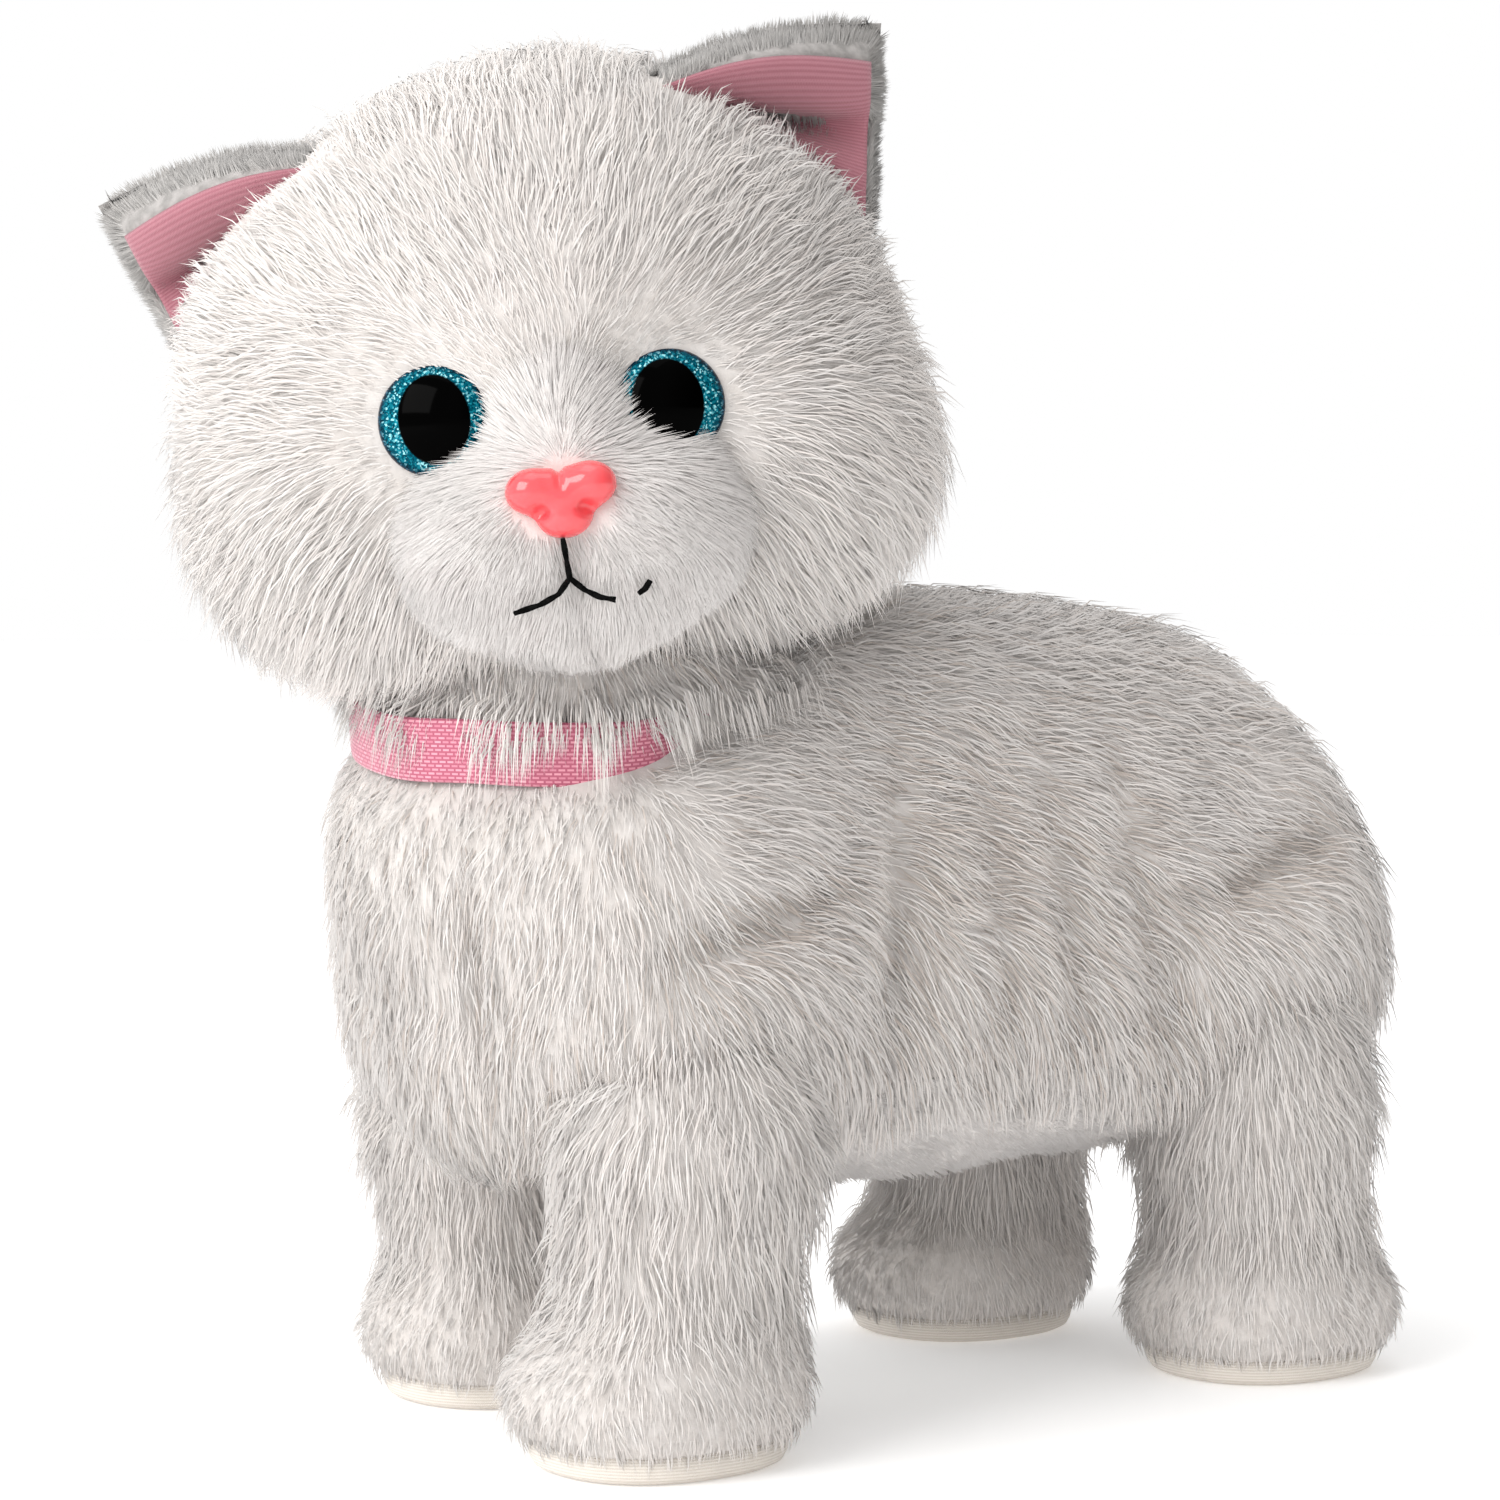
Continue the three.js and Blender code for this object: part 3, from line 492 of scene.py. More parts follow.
def webbing(name):
    """Woven pink band: rows of short raised floats on the band's UV map, u along and v across."""
    dark, light = (0.46, 0.09, 0.16), (0.80, 0.36, 0.44)
    material, nodes, links, shader = blank_material(name, light, 0.55, Sheen_Weight=0.4)
    vector = coordinates(nodes, links, "UV", (250, 13, 1))
    floats = nodes.new("ShaderNodeTexBrick")
    floats.inputs["Scale"].default_value = 1.0
    floats.inputs["Mortar Size"].default_value = 0.2
    floats.inputs["Brick Width"].default_value = 1.6
    floats.inputs["Row Height"].default_value = 0.8
    floats.inputs["Color1"].default_value = (*light, 1)
    floats.inputs["Color2"].default_value = (0.62, 0.20, 0.28, 1)
    floats.inputs["Mortar"].default_value = (*dark, 1)
    links.new(vector, floats.inputs["Vector"])
    links.new(floats.outputs["Color"], shader.inputs["Base Color"])
    add_bump(nodes, links, shader, floats.outputs["Fac"], -0.7, 0.0003)
    return material


def disc_radius(nodes, links, vector, centre, stretch):
    """Stretched distance from a point on the disc's level middle line, as a share of the disc's radius."""
    centred = nodes.new("ShaderNodeVectorMath")
    centred.operation = "SUBTRACT"
    centred.inputs[1].default_value = (centre, 0.5, 0)
    links.new(vector, centred.inputs[0])
    scaled = nodes.new("ShaderNodeVectorMath")
    scaled.operation = "MULTIPLY"
    scaled.inputs[1].default_value = (*stretch, 0)
    links.new(centred.outputs["Vector"], scaled.inputs[0])
    length = nodes.new("ShaderNodeVectorMath")
    length.operation = "LENGTH"
    links.new(scaled.outputs["Vector"], length.inputs[0])
    return maths(nodes, links, "MULTIPLY", length.outputs["Value"], 2.0)


def iris_material():
    """Clear-coated eye on its own UV disc: black pupil, glittering blue-green ring, dark blue rim."""
    base = (0.02, 0.2, 0.3)
    material, nodes, links, shader = blank_material("eye_glitter", base, 0.1, Specular_IOR_Level=0.02)
    vector = coordinates(nodes, links, "UV", 1.0)
    radius = disc_radius(nodes, links, vector, 0.5, (1, 1))
    pupil_radius = disc_radius(nodes, links, vector, 0.485, (1 / 0.66, 1 / 0.82))
    flakes = nodes.new("ShaderNodeTexVoronoi")
    flakes.inputs["Scale"].default_value = 60
    links.new(vector, flakes.inputs["Vector"])
    sparkle = nodes.new("ShaderNodeSeparateColor")
    links.new(flakes.outputs["Color"], sparkle.inputs["Color"])
    tones = [(0.0, (0.0, 0.03, 0.05)), (0.5, (0.0, 0.10, 0.15)), (0.80, (0.01, 0.24, 0.31))]
    tones.append((0.98, (0.35, 0.75, 0.80)))
    glitter = ramp(nodes, links, sparkle.outputs["Red"], tones)
    rim = ramp(nodes, links, radius, [(0.86, (1, 1, 1)), (0.97, (0.10, 0.16, 0.24))])
    pupil = ramp(nodes, links, pupil_radius, [(0.96, (0, 0, 0)), (1.0, (1, 1, 1))])
    color = glitter
    for mask in (rim, pupil):
        mix = nodes.new("ShaderNodeMix")
        mix.data_type = "RGBA"
        mix.blend_type = "MULTIPLY"
        mix.inputs["Factor"].default_value = 1.0
        links.new(color, mix.inputs["A"])
        links.new(mask, mix.inputs["B"])
        color = mix.outputs["Result"]
    links.new(color, shader.inputs["Base Color"])
    return material


# The fourth, darker tint is painted shade for pile rooted in the body's folds.
WHITE_TINTS = [(0.80, 0.76, 0.73), (0.785, 0.735, 0.70), (0.815, 0.78, 0.755), (0.62, 0.55, 0.50)]
LONG_PILE = pile_materials("long_pile", WHITE_TINTS)
SHORT_PILE = pile_materials("short_pile", [(0.81, 0.775, 0.755), (0.79, 0.75, 0.73), (0.83, 0.80, 0.78)])
GREY_PILE = pile_materials("grey_pile", [(0.40, 0.385, 0.37), (0.48, 0.465, 0.45), (0.33, 0.32, 0.31)])
# The backing is darker than the white pile over it: painted shade that the pile would cast on the cloth.
SHADED_BACKING = mottled("shaded_plush_backing", (0.64, 0.60, 0.57), (0.70, 0.665, 0.64), 0.95, 0.004, 0.5)
SHORT_BACKING = mottled("short_backing", (0.68, 0.645, 0.62), (0.74, 0.71, 0.69), 0.95, 0.002, 0.5)
GREY_BACKING = mottled("grey_backing", (0.28, 0.27, 0.26), (0.42, 0.40, 0.39), 0.95, 0.002, 0.5)


# ---------------------------------------------------------------- pile


class Skin:
    """A surface that pile grows from: its points, triangles and vertex normals."""

    def __init__(self, points, faces):
        """Splits the faces into triangles and works out the normals once for all of a skin's pile."""
        self.points = points
        self.triangles = triangles_of(faces)
        self.normals = vertex_normals(points, self.triangles)


def scatter(skin, count, weight, rng):
    """Random points spread evenly by area over the triangles, thinned by weight(middle)."""
    a, b, c = (skin.points[skin.triangles[:, k]] for k in range(3))
    area = np.linalg.norm(np.cross(b - a, c - a), axis=-1) * weight((a + b + c) / 3)
    chance = np.cumsum(area) / area.sum()
    chosen = np.searchsorted(chance, rng.random(count))
    u, v = rng.random(count), rng.random(count)
    fold = u + v > 1
    u, v = np.where(fold, 1 - u, u)[:, None], np.where(fold, 1 - v, v)[:, None]
    points = a[chosen] * (1 - u - v) + b[chosen] * u + c[chosen] * v
    corner = skin.triangles[chosen]
    normals = skin.normals[corner[:, 0]] * (1 - u - v) + skin.normals[corner[:, 1]] * u
    return points, unit(normals + skin.normals[corner[:, 2]] * v)


def everywhere(middles):
    """The same pile density all over a piece."""
    return np.ones(len(middles))


def gather_locks(points, tips, size, rng):
    """Each strand's lock: strands in one jittered cell share a number, a mean root and a mean tip."""
    jitter = ripple(points, size * 2.3, 11)[:, None] * size * 0.5
    cells = np.floor((points + jitter + rng.uniform(0, size, 3)) / size).astype(np.int64)
    keys = (cells * [73856093, 19349663, 83492791]).sum(-1)
    _, lock = np.unique(keys, return_inverse=True)
    share = np.bincount(lock).astype(float)
    mean_tip = np.stack([np.bincount(lock, tips[:, k]) / share for k in range(3)], -1)
    return lock, mean_tip[lock]


def strand_mesh(roots, middle, tip, normals, width):
    """Closed three-sided spikes from root to tip, through a middle ring when there is one.

    The shading normals stay near the skin's own normal, so that the pile shades as one soft surface.
    """
    axis = unit((tip if middle is None else middle) - roots)
    across = unit(np.cross(axis, normals + 0.01))
    over = np.cross(axis, across)
    rings = [(roots, 1.0)] if middle is None else [(roots, 1.0), (middle, 0.85)]
    points, turned = [], []
    for centre, share in rings:
        for turn in (0, 2 * np.pi / 3, 4 * np.pi / 3):
            outside = np.cos(turn) * across + np.sin(turn) * over
            points.append(centre + width * share * outside)
            turned.append(unit(normals + 0.2 * outside))
    points.append(tip)
    turned.append(unit(normals + 0.3 * axis))
    size = len(points)
    base = (np.arange(len(roots)) * size)[:, None]
    sides = [[0, 1, 4, 3], [1, 2, 5, 4], [2, 0, 3, 5]] if middle is not None else []
    low = size - 4
    ends = [[low, low + 1, size - 1], [low + 1, low + 2, size - 1], [low + 2, low, size - 1], [2, 1, 0]]
    blocks = [np.array(block) for block in (sides, ends) if block]
    faces = [(base[:, None] + block[None]).reshape(-1, block.shape[1]) for block in blocks]
    return np.stack(points, 1).reshape(-1, 3), faces, np.stack(turned, 1).reshape(-1, 3)


def strands(name, skin, count, length, comb, materials, seed, weight=None, lift=0.36, lock=2.1 * MM,
            hold=0.28, thick=0.135 * MM, sag=0.25, bent=True, deep=None):
    """A field of pile in one mesh.

    Root on the skin, middle at half length along lift * normal + comb, tip leaning further over and
    sagging, then drawn towards the mean tip of its lock by the share hold, and kept off the floor.
    A strand takes the last, darker tint with the chance that is given for its root: painted shade down in a
    fold.
    """
    rng = np.random.default_rng(seed)
    roots, normals = scatter(skin, count, weight or everywhere, rng)
    way = comb(roots)
    way = unit(way - normals * (way * normals).sum(-1, keepdims=True))
    wander = 0.3 * ripple(roots, 14 * MM, seed + 1)[:, None] * np.cross(normals, way)
    way = unit(way + wander + rng.normal(0, 0.14, roots.shape))
    size = length(roots) * rng.uniform(0.75, 1.15, count) * (1 + 0.1 * ripple(roots, 9 * MM, seed + 2))
    size = size[:, None]
    stand = lift * rng.uniform(0.6, 1.4, count)[:, None]
    stand = stand * (1 + 0.25 * ripple(roots, 11 * MM, seed + 3)[:, None])
    first = unit(normals * stand + way)
    second = unit(normals * stand * 0.35 + way + np.array([0, 0, -sag]))
    middle = roots + first * size * 0.5
    tip = middle + second * size * 0.5
    number, mean_tip = gather_locks(roots, tip, lock, rng)
    tip = tip + (mean_tip - tip) * hold
    middle = middle + (mean_tip - tip) * hold * 0.12
    for ends in (middle, tip):
        ends[:, 2] = np.maximum(ends[:, 2], 0.4 * MM)
    width = thick * rng.uniform(0.75, 1.25, count)[:, None]
    roots = roots - normals * 0.3 * MM
    points, faces, turned = strand_mesh(roots, middle if bent else None, tip, normals, width)
    tint = np.random.default_rng(seed + 5).integers(0, 3, number.max() + 1)[number]
    tint = np.where(rng.random(count) < 0.5, rng.integers(0, 3, count), tint)
    # Strands rooted in a fold may take the darker last tint: painted shade in the crease.
    if deep:
        tint = np.where(rng.random(count) < deep(roots), len(materials) - 1, tint)
    slots = np.concatenate([np.repeat(tint, 3), np.repeat(tint, 4)]) if bent else np.repeat(tint, 4)
    return new_piece(name, points, faces, materials, slots, normals=turned)


UNDER_SHARE = 2.4


def long_pile(name, skin, count, length, comb, seed, weight, place, **style):
    """Bent top locks over straight, shorter and denser under-pile; place(piece) joins each to its body."""
    top = strands(name, skin, count, length, comb, LONG_PILE, seed, weight, **style)
    style["lift"] = style.get("lift", 0.36) * 0.8
    under = strands(name + "_under", skin, int(count * UNDER_SHARE), lambda roots: length(roots) * 0.75,
                    comb, LONG_PILE, seed + 100, weight, bent=False, **style)
    for piece in (top, under):
        place(piece)


def riding(body):
    """A function that makes a piece ride on one body."""
    return lambda piece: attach(piece, body)


def even_length(value):
    """A pile length that is the same all over."""
    return lambda points: np.full(len(points), value)


# ---------------------------------------------------------------- body fabric

SPINE_BACK = 46 * MM
WINDOW = node_box("battery_door")
SWITCH_BOX = node_box("switch_housing")
# Creases up each flank: share of the torso's half length, then lean of the upper end and depth in mm.
FLANK_CREASES = ((-0.28, 2, 6.0), (0.0, -12, 3.2), (0.2, -16, 3.4), (0.38, -14, 3.2))


def press_line(points, start, end, width, depth):
    """Depth of a fold pressed along a straight line from start to end."""
    start, end = np.asarray(start, float), np.asarray(end, float)
    along = end - start
    share = np.clip(((points - start) @ along) / along.dot(along), 0, 1)
    away = np.linalg.norm(points - (start + share[..., None] * along), axis=-1)
    return depth * bump(away, width) * np.sin(np.pi * np.clip(share, 0.08, 0.92))


def body_folds(points):
    """Creases: behind the shoulder, round the thigh, up the flank, and the two seams of the bib."""
    press = np.zeros(len(points))
    mid, half = TORSO_MID, TORSO_HALF
    for side in (-1, 1):
        x = mid[0] + side * half[0] * 1.05
        for share, lean, depth in FLANK_CREASES:
            y = mid[1] + share * half[1]
            low, high = mid[2] - 0.62 * half[2], mid[2] + 0.72 * half[2]
            upper = (x * 0.9, y + lean * MM, high)
            press += press_line(points, (x, y, low), upper, 5 * MM, depth * MM)
        hip = HIPS["rear_left"]
        thigh = (x, hip[1] - 24 * MM, hip[2] + 2 * MM)
        press += press_line(points, thigh, (x, hip[1] + 16 * MM, hip[2] + 16 * MM), 5 * MM, 5.0 * MM)
        press += press_line(points, thigh, (x, hip[1] - 26 * MM, hip[2] - 26 * MM), 5 * MM, 4.5 * MM)
        hip = HIPS["front_left"]
        press += press_line(points, (x, hip[1] - 22 * MM, hip[2] - 4 * MM),
                            (x, hip[1] + 26 * MM, hip[2] + 10 * MM), 5 * MM, 4.5 * MM)
        seam_top = (MIDDLE_X + side * 19 * MM, TORSO_LOW[1], NECK[2] - 20 * MM)
        seam_low = (MIDDLE_X + side * 15 * MM, TORSO_LOW[1] + 6 * MM, BELLY_LOW + 10 * MM)
        press += press_line(points, seam_top, seam_low, 2.0 * MM, 2.6 * MM)
    return press


def body_surface():
    """The body's star surface with its folds pressed in along the normals."""
    start = TORSO_MID - (0, SPINE_BACK, 0)
    end = TORSO_MID + (0, SPINE_BACK, 0)
    grid = star_surface(body_field, start, end, 140, 132, 0.085)
    points, faces = closed_grid(grid)
    normals = vertex_normals(points, triangles_of(faces))
    points = points - normals * body_folds(points)[:, None]
    points += normals * (0.8 * MM * ripple(points, 34 * MM, 3))[:, None]
    return points, faces


def in_window(middles, grow=0.0):
    """Inside the belly's openings for the battery door and for the switch."""
    below = middles[:, 2] < WINDOW[1][2]
    door = np.abs(middles[:, 0] - WINDOW[2][0]) < 18 * MM + grow
    door &= middles[:, 1] > WINDOW[0][1] - 1 * MM - grow
    door &= middles[:, 1] < WINDOW[1][1] + 1.5 * MM + grow
    switch = np.abs(middles[:, 0] - SWITCH_BOX[2][0]) < 7 * MM + grow
    switch &= np.abs(middles[:, 1] - SWITCH_BOX[2][1]) < 4 * MM + grow
    return below & (door | switch)


def cut_window(points, faces):
    """Faces of the underside's openings left out, and unused points dropped."""
    return compact(points, [block[~in_window(points[block].mean(1))] for block in faces])


def thicken(piece, thickness):
    """A cloth wall grown inwards from the outer surface."""
    solid = piece.modifiers.new("wall", "SOLIDIFY")
    solid.thickness = thickness
    solid.offset = -1


def body_comb(points):
    """Pile direction: down the chest, back and down the flanks, back along the spine, down the rump."""
    share = (points[:, 1] - TORSO_MID[1]) / TORSO_HALF[1]
    chest = step(-share, 0.62, 0.9)
    rump = step(share, 0.72, 1.0)
    low = step(TORSO_MID[2] - points[:, 2], -10 * MM, 30 * MM)
    down = np.clip(chest + rump * 0.9 + low * 0.75, 0, 1)
    way = np.zeros_like(points)
    way[:, 1] = 1 - down
    way[:, 2] = -0.3 - 0.9 * down
    return way - 3 * above_collar(points)[:, None] * COLLAR_AXES[2]


def above_collar(points):
    """How near the neck just over the collar's upper edge, whose pile hangs over the band."""
    out, rise = collar_gaps(points)
    return bump(out, 12 * MM) * bump(rise - 10 * MM, 10 * MM)


PANEL_TOP = 19 * MM


def on_belly(points, shrink=0.0):
    """On the short-pile panel: the underside and the low part of the flanks between the legs."""
    between = np.abs(points[:, 1] - TORSO_MID[1] - 2 * MM) < 40 * MM
    top = BELLY_LOW + PANEL_TOP - 5 * MM * step(np.abs(points[:, 1] - TORSO_MID[1]), 15 * MM, 40 * MM)
    return between & (points[:, 2] < top - shrink)


def body_weight(zone):
    """Pile density on one part of the body: none under the head, at the collar or on the belly panel."""
    def weight(middles):
        """One where the body's long pile grows, else nothing."""
        below_head = np.linalg.norm(middles[:, :2] - NECK[:2], axis=-1) > 20 * MM
        below_head |= middles[:, 2] < NECK[2] - 12 * MM
        out, rise = collar_gaps(middles)
        edge = 3.6 * MM + 1.2 * MM * ripple(middles, 12 * MM, 15)
        by_collar = (out < 2 * MM) & (np.abs(rise) < edge)
        return (below_head & ~by_collar & ~on_belly(middles, 4.5 * MM) & zone(middles)).astype(float)
    return weight


def body_length(points):
    """Pile length: longer on the back and sides, shorter on the chest and just below the collar."""
    chest = step(-(points[:, 1] - TORSO_MID[1]) / TORSO_HALF[1], 0.7, 0.95)
    out, rise = collar_gaps(points)
    near_collar = bump(out, 12 * MM) * bump(rise + 5 * MM, 12 * MM)
    ragged = 1 + 0.3 * above_collar(points) * ripple(points, 13 * MM, 16)
    return (8.8 * MM - 1.2 * MM * chest) * (1 - 0.4 * near_collar) * ragged


def fold_shade_chance(roots):
    """How likely pile is to take the last, darker tint, painted shade in a fold: most where a fold is
    pressed deepest.
    """
    return np.clip(body_folds(roots) / (5 * MM), 0, 0.85) + 0.08


def make_body():
    """Body fabric with its openings, four fields of long pile, the collar's fringe and the belly panel."""
    points, faces = body_surface()
    skin = Skin(points, faces)
    shell = new_piece("body_fabric", *cut_window(points, faces), [SHADED_BACKING])
    thicken(shell, 1.2 * MM)
    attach(shell, "body")
    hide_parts("torso_skin")
    third = TORSO_HALF[1] * 0.33
    front, rear = TORSO_MID[1] - 1.6 * third, TORSO_MID[1] + 1.7 * third

    def on_flank(middles):
        """Between the chest and the rump."""
        return (middles[:, 1] >= front) & (middles[:, 1] < rear)

    # Each field of pile: where it grows, its top strands and its seed.
    zones = {
        "chest_pile": (lambda m: m[:, 1] < front, 7500, 21),
        "left_flank_pile": (lambda m: on_flank(m) & (m[:, 0] >= MIDDLE_X), 9000, 22),
        "right_flank_pile": (lambda m: on_flank(m) & (m[:, 0] < MIDDLE_X), 6200, 23),
        "rump_pile": (lambda m: m[:, 1] >= rear, 6400, 24),
    }
    for name, (zone, count, seed) in zones.items():
        weight, place = body_weight(zone), riding("body")
        # Pile rooted in the folds gets the darker tint: painted shade.
        long_pile(name, skin, count, body_length, body_comb, seed, weight, place, deep=fold_shade_chance)
    make_fringe(skin)
    make_belly(points, faces, skin)


def make_fringe(skin):
    """Pile rooted just over the collar that stands off the neck and hangs raggedly over the band."""
    def weight(middles):
        """A narrow ring of the neck, from 4 to 9 mm above the middle of the collar."""
        out, rise = collar_gaps(middles)
        return ((out < 8 * MM) & (np.abs(rise - 6.5 * MM) < 2.5 * MM)).astype(float)

    def length(roots):
        """Ragged: up to two fifths longer or shorter from lock to lock."""
        return 11 * MM * (1 + 0.4 * ripple(roots, 9 * MM, 17))

    def comb(points):
        """Down the collar's axis."""
        return np.tile(-COLLAR_AXES[2], (len(points), 1))

    long_pile("collar_fringe", skin, 1500, length, comb, 25, weight, riding("body"), lift=2.4, sag=1.3)


def backward_comb(points):
    """Short pile brushed to the rear."""
    return np.tile([0.0, 1.0, -0.1], (len(points), 1))


def make_belly(points, faces, skin):
    """Short-pile panel sewn under the body, with the same openings, and its low pile."""
    lifted = points + skin.normals * 0.4 * MM
    middles = points[faces[0]].mean(1)
    on_panel = on_belly(middles) & ~in_window(middles, 0.4 * MM)
    cloth = compact(lifted, [faces[0][on_panel]])
    panel = new_piece("belly_cloth", *cloth, [SHORT_BACKING])
    thicken(panel, 0.6 * MM)
    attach(panel, "body")
    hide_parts("belly_panel")
    pile = strands("belly_pile", Skin(*cloth), 13500, even_length(2.4 * MM), backward_comb, SHORT_PILE, 31,
                   lift=0.7, lock=1.6 * MM, hold=0.3, thick=0.16 * MM, bent=False)
    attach(pile, "body")


# ---------------------------------------------------------------- legs


def down_comb(points):
    """Pile that hangs straight down."""
    return np.tile([0.0, 0.06, -1.0], (len(points), 1))


def make_leg(leg, seed):
    """Sleeve and paw in one skin, its pile, and the knitted sole."""
    field, low, top = leg_field(leg)
    grid = star_surface(field, low, top, 84, 72, 0.05)
    points, faces = closed_grid(grid)
    skin = Skin(points, faces)
    sleeve = new_piece(leg + "_leg_fabric", points, faces, [SHADED_BACKING])
    ankle = 24 * MM

    def length(roots):
        """Longer down the leg, shorter on the paw."""
        return 4.4 * MM + 5.6 * MM * step(roots[:, 2], ankle - 7 * MM, ankle + 4 * MM)

    def weight(middles):
        """None on the flat base or where the body's own pile covers."""
        side = (middles[:, 2] > 3.3 * MM) & (middles[:, 2] < HIPS[leg][2] + 2 * MM)
        return side.astype(float)

    def bend(piece):
        """Bakes the piece's placement into its mesh."""
        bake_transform(piece)

    bend(sleeve)
    long_pile(leg + "_leg_pile", skin, 4700, length, down_comb, seed, weight, bend, lift=0.5, sag=0.1)
    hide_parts(leg + "_leg_plush")
    make_sole(leg)


def make_sole(leg):
    """Shallow cream dish under the paw: flat base, rounded edge, walls that lean out a little."""
    foot = FEET[leg] * (1, 1, 0)
    b = np.linspace(0, 2 * np.pi, 64, endpoint=False)
    power = 2.3
    plan = (np.abs(np.cos(b)) ** power + np.abs(np.sin(b)) ** power) ** (-1 / power)
    outline = np.stack([np.cos(b) * plan * 1.0, np.sin(b) * plan * 1.13, np.zeros_like(b)], -1)
    base = [(2, 0), (9, 0), (15, 0), (15.6, 0.15), (16.8, 0.8)]
    wall = [(17.4, 2.0), (17.6, 3.2), (17.4, 4.2), (16.8, 4.8), (12, 5.0)]
    profile = base + wall
    rows = [foot + outline * radius * MM + (0, -1.0 * MM, height * MM) for radius, height in profile]
    grid = np.stack(rows)
    points, faces = closed_grid(grid)
    around = np.tile(b / (2 * np.pi), len(profile))
    across = np.repeat(np.linspace(0, 1, len(profile)), len(b))
    flat = (points[:, :2] - foot[:2]) / (50 * MM)
    uvs = flat.copy()
    uvs[: len(around), 0] = np.where(across > 0.35, around * 2.4, flat[: len(around), 0])
    uvs[: len(around), 1] = np.where(across > 0.35, across * 0.3, flat[: len(around), 1])
    sole = new_piece(leg + "_sole_knit", points, faces, [SOLE_KNIT], uvs=uvs)
    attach(sole, leg + "_leg")
    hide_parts(leg + "_sole")


SOLE_KNIT = knit("sole_knit", (0.66, 0.60, 0.53), (0.84, 0.79, 0.73), 70, 70)


# ---------------------------------------------------------------- head


def head_comb(points):
    """Pile that spreads from the muzzle out over the face and back, falling at the cheeks."""
    source = head_place(np.array([0, 50, -16]) * MM)
    way = unit(points - source)
    p = head_coordinates(points)
    fall = step(-p[:, 2], -6 * MM, 26 * MM)
    way[:, 2] -= 0.75 * fall
    return way


def eye_distance(points):
    """Distance to the nearer eye's middle."""
    return np.min([np.linalg.norm(points - EYE_MID[side], axis=-1) for side in EYE_MID], axis=0)


def head_length(points):
    """Pile length: short by the muzzle, the eyes and the ears, long on the cheeks, even over the crown."""
    p = head_coordinates(points)
    near = eye_distance(points)
    face = np.linalg.norm((p - np.array([0, 46, -14]) * MM) * (1, 0.8, 1), axis=-1)
    base = 9.0 * MM + 4.0 * MM * step(-p[:, 2], 0, 25 * MM)
    base = base * (0.55 + 0.45 * step(face, 20 * MM, 36 * MM))
    base = base * np.where(over_ear(points), 0.28, 1.0)
    return base * (0.5 + 0.5 * step(near, 8 * MM, 17 * MM))


def over_ear(points):
    """On the strip of head whose long pile would hide an ear's face, above a line from its inner base."""
    hidden = np.zeros(len(points), bool)
    for sign in (-1, 1):
        q = ear_coordinates(points, sign)
        line = EAR_INNER[1] - 4.0 - 0.4 * (q[:, 0] - EAR_INNER[0])
        hidden |= (q[:, 0] > EAR_INNER[0] - 1) & (q[:, 2] > line) & (q[:, 1] > ear_lean(q[:, 0]) - 3)
    return hidden


def head_weight(zone):
    """Pile density on the head: none under the muzzle, the eyes or the neck's opening."""
    def weight(middles):
        """One where the head's long pile grows, else nothing."""
        p = head_coordinates(middles)
        muzzle = (p[:, 1] > 0) & (((p[:, 0] / 20) ** 2 + ((p[:, 2] + 22 * MM) / 15) ** 2) < MM * MM)
        eyes = eye_distance(middles) < 7.0 * MM
        under = np.linalg.norm(middles[:, :2] - NECK[:2], axis=-1) < 14 * MM
        under &= middles[:, 2] < NECK[2] + 8 * MM
        return (~muzzle & ~eyes & ~under & zone(p)).astype(float)
    return weight


def make_head():
    """Head fabric and four fields of long pile: face, crown and two sides at the back."""
    start = head_place(np.array([0, -6, 0]) * MM)
    grid = star_surface(head_field, start, head_place(np.array([0, 6, 0]) * MM), 110, 110, 0.075)
    points, faces = closed_grid(grid)
    skin = Skin(points, faces)
    piece = new_piece("head_fabric", points, faces, [SHADED_BACKING])
    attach(piece, "head")
    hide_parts("head_plush")
    # Each field of pile: where it grows, its top strands and its seed.
    zones = {
        "face_pile": (lambda p: p[:, 1] > 12 * MM, 9500, 41),
        "left_cheek_pile": (lambda p: (p[:, 1] <= 12 * MM) & (p[:, 0] >= 14 * MM), 6500, 42),
        "right_cheek_pile": (lambda p: (p[:, 1] <= 12 * MM) & (p[:, 0] <= -14 * MM), 6000, 43),
        "crown_pile": (lambda p: (p[:, 1] <= 12 * MM) & (np.abs(p[:, 0]) < 14 * MM), 5500, 44),
    }
    for name, (zone, count, seed) in zones.items():
        weight, place = head_weight(zone), riding("head")
        long_pile(name, skin, count, head_length, head_comb, seed, weight, place, sag=0.3)


def make_muzzle():
    """Muzzle fabric with its low dense pile and the embroidered mouth."""
    start = head_place(np.array([0, 32, -26]) * MM)
    end = head_place(np.array([0, 32, -8]) * MM)
    grid = star_surface(muzzle_field, start, end, 90, 90, 0.045)
    points, faces = closed_grid(grid)
    skin = Skin(points, faces)
    piece = new_piece("muzzle_fabric", points, faces, [SHORT_BACKING])
    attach(piece, "head")
    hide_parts("muzzle_plush")

    def muzzle_length(roots):
        """Shorter round the nose and mouth, longer towards the cheeks and the chin."""
        p = head_coordinates(roots)
        return 3.4 * MM + 2.6 * MM * step(np.hypot(p[:, 0], p[:, 2] + 24 * MM), 8 * MM, 22 * MM)

    def weight(middles):
        """Only the part that stands out of the head, and not behind the nose."""
        from_nose = head_coordinates(middles) - head_coordinates(NOSE_MID[None])
        nose = np.linalg.norm(from_nose[:, [0, 2]] / (7.0, 5.0), axis=-1) < MM
        return ((head_field(middles) > -1.5 * MM) & ~nose).astype(float)

    pile = strands("muzzle_pile", skin, 19500, muzzle_length, head_comb, SHORT_PILE, 51, weight,
                   lift=0.62, lock=1.8 * MM, hold=0.3, thick=0.15 * MM, sag=0.15, bent=False)
    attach(pile, "head")
    make_mouth()


